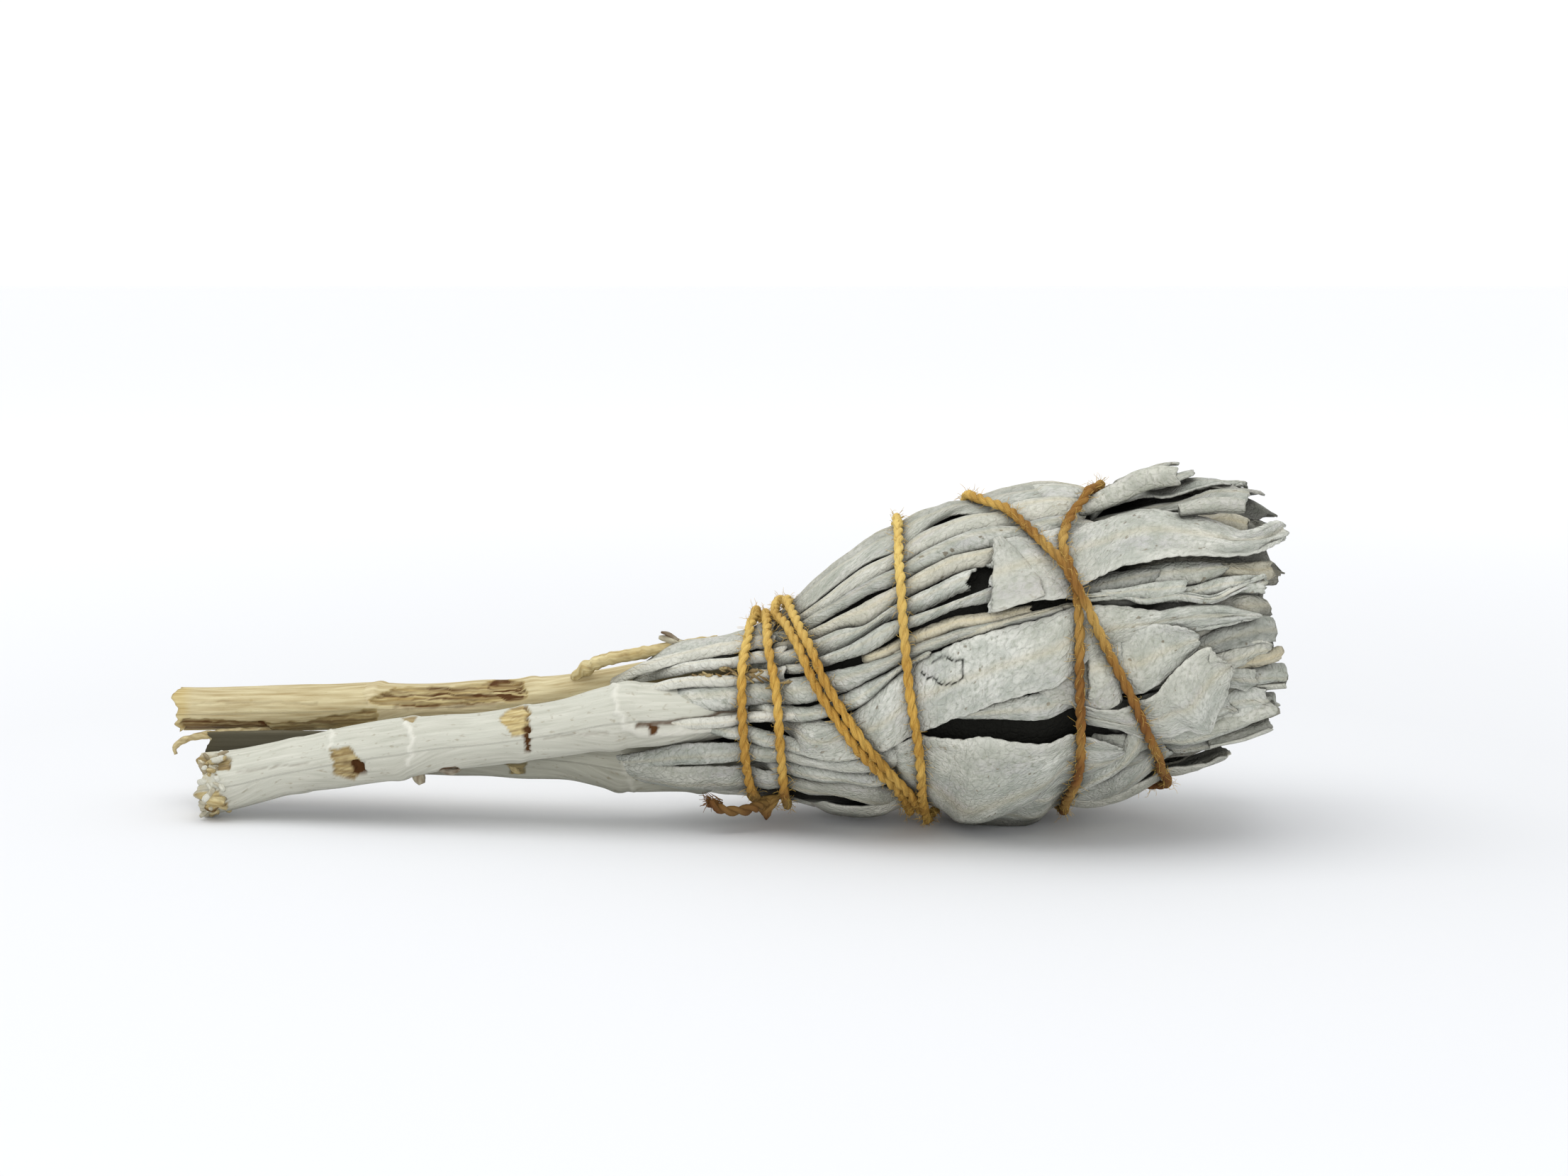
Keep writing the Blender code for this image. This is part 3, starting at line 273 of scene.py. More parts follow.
FRONT_LEAVES = [
    leaf("throat", [(-20, -0.6), (0, -0.2), (20, 0.0), (40, -0.8)], 1.4,
        [(-20, 24.6), (-10, 24.4), (0, 25.2), (10, 25.6), (20, 27.2), (26, 28.6), (31, 30.6), (38, 33.2),
         (45, 35.4), (60, 38.8)], [(-20, 18.4), (-10, 19.6), (0, 20), (8, 21), (14, 20.8), (20, 22.8),
         (25, 25.2), (30, 27.9), (38, 31.4), (45, 33.8), (60, 38)], root=0.2),
    leaf("side_rib", -0.4, 1.5, [(2, 21.6), (8, 21), (14, 20.3), (20, 22.4), (25, 24.8), (30, 27.4),
         (36, 30.6)], [(2, 18.8), (8, 18), (14, 17.6), (18, 18.3), (22, 19.4), (25, 21.2), (30, 26.2),
         (36, 29.4)]),
    leaf("broad", [(2, 0.0), (20, 0.4), (40, 0.6), (66, 0.5), (95, 0.1)], 1.3,
        [(2, 18.2), (10, 17.6), (17, 17.6), (20, 18.1), (24, 20.6), (28, 24.2), (31, 26.8), (34, 29.1),
         (38, 30.8), (44, 33), (50, 34.9), (55, 36.2), (60, 38.2), (64, 38.9), (70, 38.6), (77, 37.8),
         (80, 38.4), (88, 38.9), (95, 37.1)], [(2, 15.4), (10, 13.7), (13, 11.9), (17, 11.1), (22, 11.1),
         (26, 11.7), (30, 13.7), (35, 15.9), (40, 18.3), (46, 20.1), (50, 21.5), (55, 23.1), (60, 25.1),
         (65, 29), (70, 32), (78, 33.4), (86, 34.4), (94, 36.2)], lift=(-0.2, 0.5), crease=-0.15, step=0.42,
        across=0.42, wave=0.3, cracks=[CRACK]),
    leaf("neck_low", -0.2, 1.2, [(-18, 17.6), (-8, 17.4), (0, 17.2), (6, 16), (12, 14.2), (17, 11.6),
         (24, 11.4)], [(-18, 15), (-8, 14.6), (0, 14), (6, 12.8), (12, 11.4), (17, 10.2), (24, 10.8)],
        root=0.45),
    leaf("strip", -0.7, 0.7, [(24, 15.6), (34, 17.6), (46, 20.6), (58, 23.4), (70, 25)],
        [(24, 13.6), (35, 15.6), (41, 18.2), (46, 18), (55, 17.4), (70, 19.4)], tint=(0, 0.05, 0)),
    leaf("between", [(50, -0.9), (59, -0.2), (66, 0.8), (71, 1.5)], 0.8,
        [(50, 29), (60, 32), (64, 33), (67, 33.6), (70, 34)],
        [(50, 22.4), (58, 20.6), (64, 19), (67, 19.4), (70.6, 21.6)], lift=(0.2, 0.3), tear=0.4, wave=0.3,
        root=0.3, tint=(0.08, 0, 0)),
    leaf("square", [(64, 0.2), (72, 0.9), (84, 1.2)], 0.6,
        [(64, 33.2), (70, 34.1), (73, 34.3), (76, 35.3), (80, 34.9), (83, 34.3)],
        [(64, 21.6), (70, 22.6), (73, 22.4), (76, 24), (79, 26.6), (84.2, 31)], lift=(0.7, 0.4), tear=0.5,
        wave=0.25, root=0, step=0.6, across=0.6),
    leaf("torn", [(56, -0.6), (70, 0.5), (80, 1.5), (90, 1.8)], 0.8,
        [(56, 20.6), (64, 20.4), (70, 20.4), (73, 21.6), (76, 23.2), (78, 26), (80.5, 28.4), (83, 30.4),
         (86, 31.6), (88, 29.4)], [(56, 18), (64, 17), (70, 16.4), (75, 14.6), (79, 15.4), (82, 16.8),
         (86, 16.4), (87.4, 20), (89.4, 24), (89.8, 27.2)], lift=(0.8, 0.4), crease=-0.3, tear=1.2,
        wave=0.35, step=0.6, across=0.6),
    leaf("grey_tip", [(70, -2), (98, -0.6)], 0.9, [(70, 33), (80, 33.2), (84, 32.8), (88, 34.6), (94, 36.8),
         (97.6, 36.6)], [(70, 28), (80, 28.6), (86, 29.4), (91, 30.6), (98.2, 32)], tint=(0, 0.3, 0),
        tear=0.7, wave=0.4),
    leaf("small_tip", [(70, -1.6), (99, -0.2)], 0.7, [(70, 30), (80, 29.4), (86.5, 29.6), (90, 30.4),
         (95, 32.4), (97.2, 31.4)], [(70, 25), (80, 25.6), (88, 26.4), (92, 27.6), (96, 29.4)],
        tint=(0.1, 0.05, 0), tear=0.8, wave=0.5, curl=0.5),
    leaf("brown_tip", [(78, -2.0), (99, -0.8)], 0.7, [(78, 29), (90, 28.8), (94, 29.8), (99.4, 31.2)],
        [(78, 26), (90, 26.8), (94, 27), (98.6, 28.4)], tint=(0.55, 0.2, 0), tear=0.6, wave=0.5),
    leaf("side_tip", [(70, -2), (95, -0.6)], 0.8, [(70, 28), (80, 27.6), (90, 27.2), (94.8, 27.2)],
        [(70, 22), (80, 22.8), (88, 23), (94, 23.4)], tear=0.8, wave=0.6, tint=(0, 0.1, 0), curl=0.6),
    leaf("tube_tip", [(74, -2.4), (100, -1.2)], 1.9, [(74, 27), (86, 26.8), (94, 26.8), (100, 26.8)],
        [(74, 22.4), (86, 23), (94, 23.3), (100, 23.9)], tear=0.3, wave=0.2, lift=(-0.6, -0.6)),
    leaf("low_end", [(64, -1.6), (98, -0.6)], 0.9, [(64, 22), (78, 22), (88, 21.4), (92, 23.2),
         (96.8, 23.2)], [(64, 17), (78, 16.6), (86, 17), (91, 18.4), (97.4, 20)], tear=1.0, wave=0.6,
        curl=0.8),
    leaf("low_end_under", [(64, -2.4), (98, -1.6)], 0.9, [(64, 21), (80, 20.4), (90, 21), (98.6, 21.6)],
        [(64, 15), (80, 15.6), (88, 15.6), (93, 16.6), (98.8, 18.6)], tear=1.2, wave=0.6, tint=(0, 0.15, 0)),
]
LOW_LEAVES = [
    leaf("pale_strip", -0.3, 1.3, [(2, 13.2), (10, 12.4), (14, 11.4), (20, 10.7), (28, 12), (36, 14.8)],
        [(2, 11), (10, 10.2), (14, 9.4), (20, 8.4), (27, 7.8), (36, 9)], tint=(0, 0, 0.3)),
    leaf("grey_strip", -0.8, 1.1, [(2, 10.6), (10, 9.8), (14, 9), (20, 8), (27, 7.4), (38, 8.6)],
        [(2, 7.8), (10, 7), (16, 6), (22, 5.8), (28, 5), (38, 5.4)]),
    leaf("low_strip", -0.9, 1.1, [(2, 7.4), (10, 6.6), (16, 5.6), (24, 5.2), (30, 4.6), (38, 5)],
        [(2, 5), (10, 4.2), (16, 3.2), (24, 2.6), (32, 2.4), (38, 2.6)], tint=(0.1, 0.1, 0)),
    leaf("dark_strip", -1.9, 1.0, [(4, 4.8), (12, 3.8), (20, 2.6), (30, 2.4), (38, 2.8)],
        [(4, 2.8), (12, 1.4), (20, 0.2), (30, 0.2), (38, 0.4)], tint=(0, 0.45, 0)),
    leaf("belly", [(22, -0.4), (36, 0.5), (60, 0.9), (71, 1.0)], 1.3,
        [(22, 11.4), (28, 12.6), (34, 15), (40, 15), (45, 15.3), (50, 14.6), (56, 14.3), (63, 15.5),
         (68, 14.6), (70.8, 13.6)], [(22, 7), (28, 6), (34, 3.8), (38, 2), (41, 0.7), (44, 0), (48, 0.9),
         (52, 2.4), (55, 4.2), (58, 5.7), (62, 7.3), (66, 9), (70.4, 12)], lift=(0.5, 0.4), step=0.7,
        across=0.75, wave=0.4, tear=0.4),
    leaf("behind_belly", -0.5, 1.1, [(34, 6), (42, 4), (50, 4.6), (58, 7), (66, 11)],
        [(34, 1.4), (42, -1), (50, -0.4), (58, 1.6), (64, 4)], tint=(0, 0.1, 0)),
    leaf("rising", -0.6, 1.3, [(50, 8), (60, 6.4), (66, 9), (70, 12), (72, 15.6), (73, 20)],
        [(50, 4), (60, 3.4), (66, 5.4), (71, 8.6), (75, 13), (77, 17)], wave=0.4),
    leaf("rising_low", -0.9, 1.3, [(48, 5), (58, 3.4), (66, 5), (72, 8.4), (78, 13)],
        [(48, 1.4), (58, 0.6), (66, 2.4), (73, 5.8), (80, 10.6)], wave=0.4, tint=(0, 0.1, 0)),
    leaf("rim", -1.4, 0.8, [(58, 19.4), (64, 19.2), (70, 19.6), (80, 20), (90, 21.6)],
        [(58, 15.6), (64, 16), (70, 15.8), (80, 15), (92, 18)], tint=(0, 0.1, 0)),
    leaf("low_tip", -1.2, 1.2, [(60, 14.4), (70, 14.6), (80, 15.4), (86, 17), (93, 21), (97.6, 21.6)],
        [(60, 10), (70, 10), (79, 12), (86, 13), (92, 15.6), (97.8, 18.4)], tear=1.2, wave=0.5),
    leaf("low_tip_under", -2.0, 1.2, [(62, 11), (74, 11.4), (82, 13), (90, 14.6), (96, 18)],
        [(62, 6.6), (74, 8), (80, 10), (86, 11), (95, 14.4)], tear=1.2, wave=0.5, tint=(0, 0.2, 0)),
]
# Petioles on the neck: they join the leaves to the stems.
NECK_STRIPS = [
    ("back", leaf("petiole_a", 0.4, 0.9, [(-24, 28.2), (-16, 30.2), (-8, 32.2), (2, 34), (8, 36.6)],
        [(-24, 26.4), (-16, 28.2), (-8, 30), (2, 31.8), (8, 33.8)], root=0.5)),
    ("back", leaf("petiole_b", 0.2, 1.0, [(-26, 27), (-16, 28.4), (-8, 30.2), (0, 32), (8, 34)],
        [(-26, 25.4), (-16, 26.6), (-8, 28.4), (0, 30), (8, 31.8)], tint=(0.1, 0, 0.5), root=0.5)),
    ("back", leaf("petiole_c", 0.1, 1.0, [(-22, 26.4), (-12, 27.4), (-5, 28.6), (2, 30), (10, 31.6)],
        [(-22, 24.6), (-12, 25.8), (-5, 27), (2, 28), (10, 29.2)], tint=(0, 0, 0.5), root=0.5)),
    ("front", leaf("petiole_d", 0.1, 1.0, [(-24, 25), (-14, 25.2), (-6, 25.8), (2, 26.6), (10, 28)],
        [(-24, 23.4), (-14, 23.4), (-6, 23.8), (2, 24.6), (10, 25.4)], tint=(0, 0, 0.6), root=0.5)),
    ("front", leaf("petiole_g", 0.1, 1.0, [(-24, 18.6), (-12, 18.2), (-2, 18.6), (6, 19.6), (12, 20)],
        [(-24, 16.4), (-12, 16), (-2, 16.6), (6, 17.6), (12, 18.2)], tint=(0.05, 0, 0.6), root=0.55)),
    ("low", leaf("petiole_e", -0.2, 1.0, [(-30, 12.8), (-16, 13.2), (-4, 13.6), (4, 13.4), (10, 12.8)],
        [(-30, 9.4), (-16, 9.4), (-4, 9.8), (4, 10.2), (10, 9.8)], tint=(0, 0.12, 0), root=0.6)),
    ("low", leaf("petiole_f", -0.3, 1.0, [(-30, 9.6), (-16, 9.6), (-4, 9.4), (4, 8.8), (10, 7.8)],
        [(-30, 6.4), (-16, 5.4), (-4, 5), (4, 4.8), (10, 4.6)], tint=(0, 0.2, 0), root=0.6)),
]


def curve_through(points):
    """A smooth function of the first value of these points, level past both ends."""
    places = [p[0] for p in points]
    values = [p[1] for p in points]
    slopes = []
    for i in range(len(points)):
        before = max(i - 1, 0)
        after = min(i + 1, len(points) - 1)
        slopes.append((values[after] - values[before]) / (places[after] - places[before]))

    def value_at(x):
        if x <= places[0]:
            return values[0]
        if x >= places[-1]:
            return values[-1]
        i = bisect.bisect_left(places, x) - 1
        width = places[i + 1] - places[i]
        t = (x - places[i]) / width
        a = (1 + 2 * t) * (1 - t) ** 2 * values[i] + t * t * (3 - 2 * t) * values[i + 1]
        b = t * (1 - t) ** 2 * slopes[i] - t * t * (1 - t) * slopes[i + 1]
        return a + b * width

    return value_at


def path_lengths(points):
    lengths = [0.0]
    for a, b in zip(points, points[1:]):
        lengths.append(lengths[-1] + math.dist(a, b))
    return lengths


def point_along(points, lengths, part):
    """The point a part of the way, from 0 to 1, along the smooth path through these points."""
    goal = part * lengths[-1]
    i = min(max(bisect.bisect_left(lengths, goal) - 1, 0), len(points) - 2)
    t = (goal - lengths[i]) / (lengths[i + 1] - lengths[i])
    p0 = points[max(i - 1, 0)]
    p1 = points[i]
    p2 = points[i + 1]
    p3 = points[min(i + 2, len(points) - 1)]
    result = []
    for a, b, c, d in zip(p0, p1, p2, p3):
        result.append(b + 0.5 * t * (c - a + t * (2 * a - 5 * b + 4 * c - d + t * (3 * (b - c) + d - a))))
    return result


bottom_at = curve_through(BOTTOM_LINE)
top_at = curve_through(TOP_LINE)
half_depth_at = curve_through(HALF_DEPTH_LINE)
core_depth_at = curve_through(CORE_DEPTH_LINE)


def middle_height(x):
    return 0.5 * (top_at(x) + bottom_at(x))


def half_height(x):
    return 0.5 * (top_at(x) - bottom_at(x))


def smooth(t):
    t = min(max(t, 0.0), 1.0)
    return t * t * (3 - 2 * t)


def on_bundle(x, angle, level):
    """A point at this x and angle (0 faces the front, 90 is up), a level above the bundle's outline."""
    turn = math.radians(angle)
    y = -(half_depth_at(x) + level) * cos(turn)
    z = middle_height(x) + (half_height(x) + level) * sin(turn)
    return Vector((x, y, z))


def sight_to_bundle(seen):
    """The x and angle on the bundle's front of a place as it looks from the front."""
    seen_x, seen_z = seen
    y = -half_depth_at(seen_x) * 0.7
    angle = 0.0
    x = seen_x
    for _ in range(14):
        scale = 1 + y * cos(SIGHT_ANGLE) / SIGHT_DISTANCE
        x = SIGHT_X + (seen_x - SIGHT_X) * scale
        height = SIGHT_Z + (seen_z - SIGHT_Z) * scale
        z = (height - y * sin(SIGHT_ANGLE)) / cos(SIGHT_ANGLE)
        sine = min(max((z - middle_height(x)) / half_height(x), -1.0), 1.0)
        angle = math.degrees(math.asin(sine))
        y = 0.5 * (y - half_depth_at(x) * cos(math.radians(angle)))
    return x, angle


def as_seen(place):
    """Where this place looks to be from the front."""
    scale = 1 + place[1] * cos(SIGHT_ANGLE) / SIGHT_DISTANCE
    height = place[2] * cos(SIGHT_ANGLE) + place[1] * sin(SIGHT_ANGLE)
    return SIGHT_X + (place[0] - SIGHT_X) / scale, SIGHT_Z + (height - SIGHT_Z) / scale


def at_depth(seen, y):
    """The place that looks to be here from the front and lies at this depth."""
    scale = 1 + y * cos(SIGHT_ANGLE) / SIGHT_DISTANCE
    x = SIGHT_X + (seen[0] - SIGHT_X) * scale
    height = SIGHT_Z + (seen[1] - SIGHT_Z) * scale
    return Vector((x, y, (height - y * sin(SIGHT_ANGLE)) / cos(SIGHT_ANGLE)))


def inside(polygon, x, z):
    """Whether this place is inside the polygon."""
    found = False
    for (ax, az), (bx, bz) in zip(polygon, polygon[1:] + polygon[:1]):
        if (az > z) != (bz > z) and x < (bx - ax) * (z - az) / (bz - az) + ax:
            found = not found
    return found


def distance_to_line(points, x, z):
    """The distance from this place to a line through points."""
    best = 1e9
    for (ax, az), (bx, bz) in zip(points, points[1:]):
        dx = bx - ax
        dz = bz - az
        t = min(max(((x - ax) * dx + (z - az) * dz) / (dx * dx + dz * dz), 0), 1)
        best = min(best, math.hypot(x - ax - t * dx, z - az - t * dz))
    return best


def string_route():
    """The string's way as turned angle and x, from the knot round the bundle and back to it."""
    route = [(KNOT_TURN, NECK_X + 1.3)]
    for turn, run in enumerate(STRING_RUNS):
        behind = STRING_BOTTOMS[turn - 1] if turn else NECK_X
        top = STRING_TOPS[turn]
        route.append((360.0 * turn + 180 - TOP_REACH, top + TOP_SHARE * (behind - top)))
        route.append((360.0 * turn + 180, top))
        for seen in run:
            x, angle = sight_to_bundle(seen)
            if abs(angle) < 70:
                route.append((360.0 * turn + 270 - angle, x))
        if turn < len(STRING_BOTTOMS):
            route.append((360.0 * (turn + 1), STRING_BOTTOMS[turn]))
    route.append((360.0 * len(STRING_RUNS) + KNOT_TURN, NECK_X - 1.3))
    return curve_through(route), route[0][0], route[-1][0]


string_x_at, STRING_START, STRING_END = string_route()
# The x of each turn of the string at every whole degree, for the dent that it makes in the leaves.
STRING_TABLE = []
for degree in range(361):
    STRING_TABLE.append([string_x_at(360.0 * k + 270 - (degree - 90)) for k in range(-1, 8)
                         if STRING_START <= 360.0 * k + 270 - (degree - 90) <= STRING_END])


def pinch(x, angle):
    """How deep the string presses here, from 0 to 1."""
    degree = int(round((angle + 90) % 360))
    best = 0.0
    for place in STRING_TABLE[degree]:
        gap = abs(x - place)
        if gap < 8:
            best = max(best, math.exp(-(gap / PINCH_WIDTH) ** 2))
    return best


# Sideways place, height and radius of each stem at every x.
STEM_PLACES = {}
for stem_name, stem_line in STEMS.items():
    STEM_PLACES[stem_name] = [curve_through([(p[0], p[k]) for p in stem_line]) for k in (1, 2, 3)]


def root_point(sprig, x):
    """Where a leaf that leaves the bundle's middle at this x is rooted."""
    side_at, height_at, _ = STEM_PLACES[sprig]
    on_stem = Vector((x, side_at(x), height_at(x)))
    inner = on_bundle(x, STEM_ANGLES[sprig], -0.5 * half_height(x))
    return on_stem.lerp(inner, smooth((x - 2) / 12))


def ring_faces(rings, sides):
    """The quads between rings of points that follow each other."""
    faces = []
    for a in range(0, (rings - 1) * sides, sides):
        for k in range(sides):
            b = a + (k + 1) % sides
            faces.append((a + k, b, b + sides, a + k + sides))
    return faces


class Builder:
    """Gathers the vertices, faces and values of one piece."""

    def __init__(self):
        self.points = []
        self.faces = []
        self.places = []
        self.tints = []

    def add(self, points, faces, places, tints):
        start = len(self.points)
        self.points.extend(points)
        for face in faces:
            self.faces.append([start + k for k in face])
        self.places.extend(places)
        self.tints.extend(tints)

    def make(self, name, material):
        mesh = bpy.data.meshes.new(name)
        points = np.array([tuple(p) for p in self.points]) * MM
        points[:, 0] += SET_DOWN[0] * MM
        points[:, 1] += SET_DOWN[1] * MM
        mesh.from_pydata(points.tolist(), [], self.faces)
        place = mesh.attributes.new("leaf_place", "FLOAT_VECTOR", "POINT")
        place.data.foreach_set("vector", np.array([tuple(p) for p in self.places], np.float32).ravel())
        tint = mesh.attributes.new("leaf_tint", "FLOAT_COLOR", "POINT")
        colours = np.ones((len(self.tints), 4), np.float32)
        colours[:, :3] = np.array(self.tints, np.float32)
        tint.data.foreach_set("color", colours.ravel())
        mesh.shade_smooth()
        obj = add_to_scene(name, mesh)
        shape = bmesh.new()
        shape.from_mesh(mesh)
        bmesh.ops.recalc_face_normals(shape, faces=shape.faces)
        shape.to_mesh(mesh)
        shape.free()
        mesh.materials.append(material)
        return obj


def sheet_shape(grid, thickness, keep):
    """Both faces and the rims of a thin sheet, as points and quads, without the cells that aren't kept."""
    rows, columns = grid.shape[:2]
    along = np.gradient(grid, axis=0)
    across = np.gradient(grid, axis=1)
    normals = np.cross(along, across)
    normals /= np.maximum(np.linalg.norm(normals, axis=2, keepdims=True), 1e-9)
    half = normals * thickness[..., None] * 0.5
    points = np.concatenate([(grid + half).reshape(-1, 3), (grid - half).reshape(-1, 3)])
    faces = []
    other = rows * columns
    for i in range(rows - 1):
        for j in range(columns - 1):
            if not keep[i, j]:
                continue
            a = i * columns + j
            faces.append((a, a + columns, a + columns + 1, a + 1))
            faces.append((other + a, other + a + 1, other + a + columns + 1, other + a + columns))
            if i == 0 or not keep[i - 1, j]:
                faces.append((a, a + 1, other + a + 1, other + a))
            if i == rows - 2 or not keep[i + 1, j]:
                b = a + columns
                faces.append((b + 1, b, other + b, other + b + 1))
            if j == 0 or not keep[i, j - 1]:
                faces.append((a + columns, a, other + a, other + a + columns))
            if j == columns - 2 or not keep[i, j + 1]:
                b = a + 1
                faces.append((b, b + columns, other + b + columns, other + b))
    return points, faces


def column_places(width, across):
    """Places across a leaf from -1 to 1, closer together at the edges."""
    count = max(5, int(width / across))
    near_edge = [0.0, 0.16, 0.45]
    inner = [0.9 + (width - 1.8) * k / (count - 1) for k in range(count)]
    spots = near_edge + inner + [width - d for d in reversed(near_edge)]
    return [2 * s / width - 1 for s in spots]


def leaf_size(upper, upper_lengths, lower, lower_lengths):
    """A leaf's length along its middle and its greatest width."""
    length = 0.0
    width = 0.0
    last = None
    for i in range(LEAF_SAMPLES + 1):
        top_x, top_angle = point_along(upper, upper_lengths, i / LEAF_SAMPLES)
        low_x, low_angle = point_along(lower, lower_lengths, i / LEAF_SAMPLES)
        a = on_bundle(top_x, top_angle, 0)
        b = on_bundle(low_x, low_angle, 0)
        width = max(width, (a - b).length)
        middle = (a + b) / 2
        if last is not None:
            length += (middle - last).length
        last = middle
    return length, width


def leaf_height(spec, phase, level, x, angle, v, along, side, end_share):
    """How high a place on a leaf stands over the bundle's surface, and its slow wave."""
    height = level + spec["crown"] * (0.5 - abs(v) ** 2.4)
    height += spec["crease"] * math.exp(-(v / 0.12) ** 2)
    height += spec["lift"][0 if v > 0 else 1] * smooth((abs(v) - 0.62) / 0.38)
    slow = noise((x * 0.055, angle * 0.045, phase))
    quick = noise((x * 0.05, v * 2.4, phase + 7))
    height += spec["wave"] * (1.4 * slow + 0.8 * quick * (0.3 + 0.7 * abs(v)))
    height += 0.32 * noise((along * 0.15, side * 0.2, phase + 15)) * (1 - abs(v) ** 6)
    height += 0.13 * noise((along * 0.5, side * 0.5, phase + 11))
    height += 0.05 * noise((along * 1.2, side * 1.2, phase + 13))
    height += spec["curl"] * end_share * (0.35 + 0.65 * v * v)
    ruffle = noise((x * 0.16, v * 1.5, phase + 31)) + 0.6 * noise((x * 0.3, v * 4, phase + 33))
    height += spec["ruffle"] * ruffle * smooth((x - 74) / 14)
    return height, slow


def kept_cells(grid, holes):
    """Which cells of a leaf are there: those whose middle, as seen, lies in none of the holes."""
    rows, columns = grid.shape[:2]
    keep = np.ones((rows - 1, columns - 1), bool)
    for hole in holes:
        for i in range(rows - 1):
            for j in range(columns - 1):
                middle = 0.25 * (grid[i, j] + grid[i + 1, j] + grid[i, j + 1] + grid[i + 1, j + 1])
                if inside(hole, *as_seen(middle)):
                    keep[i, j] = False
    return keep


def add_leaf(builder, sprig, spec, seed):
    """Adds one leaf to the piece."""
    draw = random.Random(seed)
    phase = draw.uniform(0, 60)
    if spec["seen"]:
        upper = [sight_to_bundle(p) for p in spec["upper"]]
        lower = [sight_to_bundle(p) for p in spec["lower"]]
    else:
        upper = spec["upper"]
        lower = spec["lower"]
    upper_lengths = path_lengths(upper)
    lower_lengths = path_lengths(lower)
    level_at = curve_through(spec["level"]) if isinstance(spec["level"], list) else None
    length, width = leaf_size(upper, upper_lengths, lower, lower_lengths)
    rows = max(8, int(length / spec["step"]))
    spots = column_places(width, spec["across"])
    columns = len(spots)
    grid = np.zeros((rows, columns, 3))
    places = []
    tints = []
    base_tint = spec["tint"]
    vary = draw.uniform(-1, 1)
    for i in range(rows):
        u = i / (rows - 1)
        top_x, top_angle = point_along(upper, upper_lengths, u)
        low_x, low_angle = point_along(lower, lower_lengths, u)
        size = max(0.5 * (half_height(top_x) + half_depth_at(top_x)), 6)
        along = u * length
        wobble = noise((along * 0.13, phase, 3.0))
        tooth = pi * along / TOOTH_LENGTH + 2 * wobble
        edge = TOOTH_DEPTH * abs(sin(tooth)) + 0.35 * wobble - EDGE_INSET
        other_edge = (TOOTH_DEPTH * abs(sin(tooth + phase))
                      + 0.35 * noise((along * 0.13, phase, 9.0)) - EDGE_INSET)
        level = level_at(0.5 * (top_x + low_x)) if level_at else spec["level"]
        share = smooth(u / spec["root"]) if spec["root"] > 0 else 1.0
        foot = root_point(sprig, 0.5 * (top_x + low_x)) if share < 1 else None
        end_share = smooth((u - 0.8) / 0.2)
        start_share = smooth((0.15 - u) / 0.15) if spec["root"] == 0 else 0.0
        for j, v in enumerate(spots):
            t = (v + 1) / 2
            x = low_x + (top_x - low_x) * t
            angle = low_angle + (top_angle - low_angle) * t
            if v > 0:
                angle += math.degrees(edge / size) * v ** 6
            else:
                angle -= math.degrees(other_edge / size) * v ** 6
            torn = 1.3 * noise((v * 1.3, phase, 21.0)) + 0.5 * noise((v * 4.5, phase, 22.0))
            torn -= min(1.5, 0.13 * width) * abs(v) ** 3
            x += spec["tear"] * torn * end_share
            frayed = noise((v * 2.2, phase, 25.0)) + 0.5 * noise((v * 6, phase, 26.0))
            x += spec["tear"] * frayed * start_share
            side = v * width / 2
            height, slow = leaf_height(spec, phase, level, x, angle, v, along, side, end_share)
            rough = 0.0
            # Along each crack the leaf is pressed into a groove and tinted dark: painted shade in the
            # groove.
            if spec["cracks"]:
                seen_x, seen_z = as_seen(on_bundle(x, angle, height))
                for crack in spec["cracks"]:
                    gap = distance_to_line(crack, seen_x, seen_z)
                    gap += 0.12 * noise((seen_x * 2.6, seen_z * 2.6, 3.0))
                    rough = max(rough, 1 - smooth(gap / 0.36))
                height -= 0.45 * rough
            height -= PINCH_DEPTH * pinch(x, angle)
            grid[i, j] = on_bundle(x, angle, height)
            places.append((along, side, phase * 10))
            rib = math.exp(-((v - 0.05 * vary) / 0.13) ** 2)
            tan = base_tint[0] + 0.25 * rib + 0.15 * max(slow, 0)
            # Painted shade: leaf parts lying more than 1 mm under the bundle's outline are tinted darker,
            # less so towards the open end.
            depth = -height - 1.0
            dark = base_tint[1] + 0.10 * max(-vary, 0) + rough
            dark += 0.9 * smooth(depth / 1.4) * (1 - 0.75 * smooth((x - 64) / 14))
            pale = base_tint[2] + 0.30 * smooth((abs(v) - 0.8) / 0.2) + 0.15 * max(vary, 0)
            pale *= 1 - min(dark, 1)
            tints.append((tan, dark, pale))
        if foot is not None:
            middle = 0.5 * (grid[i, 0] + grid[i, -1])
            start = np.array(foot) + 0.3 * (grid[i] - middle)
            grid[i] = start * (1 - share) + grid[i] * share
    keep = kept_cells(grid, spec["holes"])
    thickness = np.full((rows, columns), LEAF_THICKNESS)
    thickness[:, 0] *= 0.6
    thickness[:, -1] *= 0.6
    thickness[-1, :] *= 0.6
    grid[..., 2] = np.maximum(grid[..., 2], 0.4)
    points, faces = sheet_shape(grid, thickness, keep)
    used = np.zeros(len(points), bool)
    for face in faces:
        used[list(face)] = True
    renumber = np.cumsum(used) - 1
    faces = [tuple(int(renumber[k]) for k in face) for face in faces]
    places = [p for p, u in zip(places + places, used) if u]
    tints = [t for t, u in zip(tints + tints, used) if u]
    builder.add(points[used], faces, places, tints)


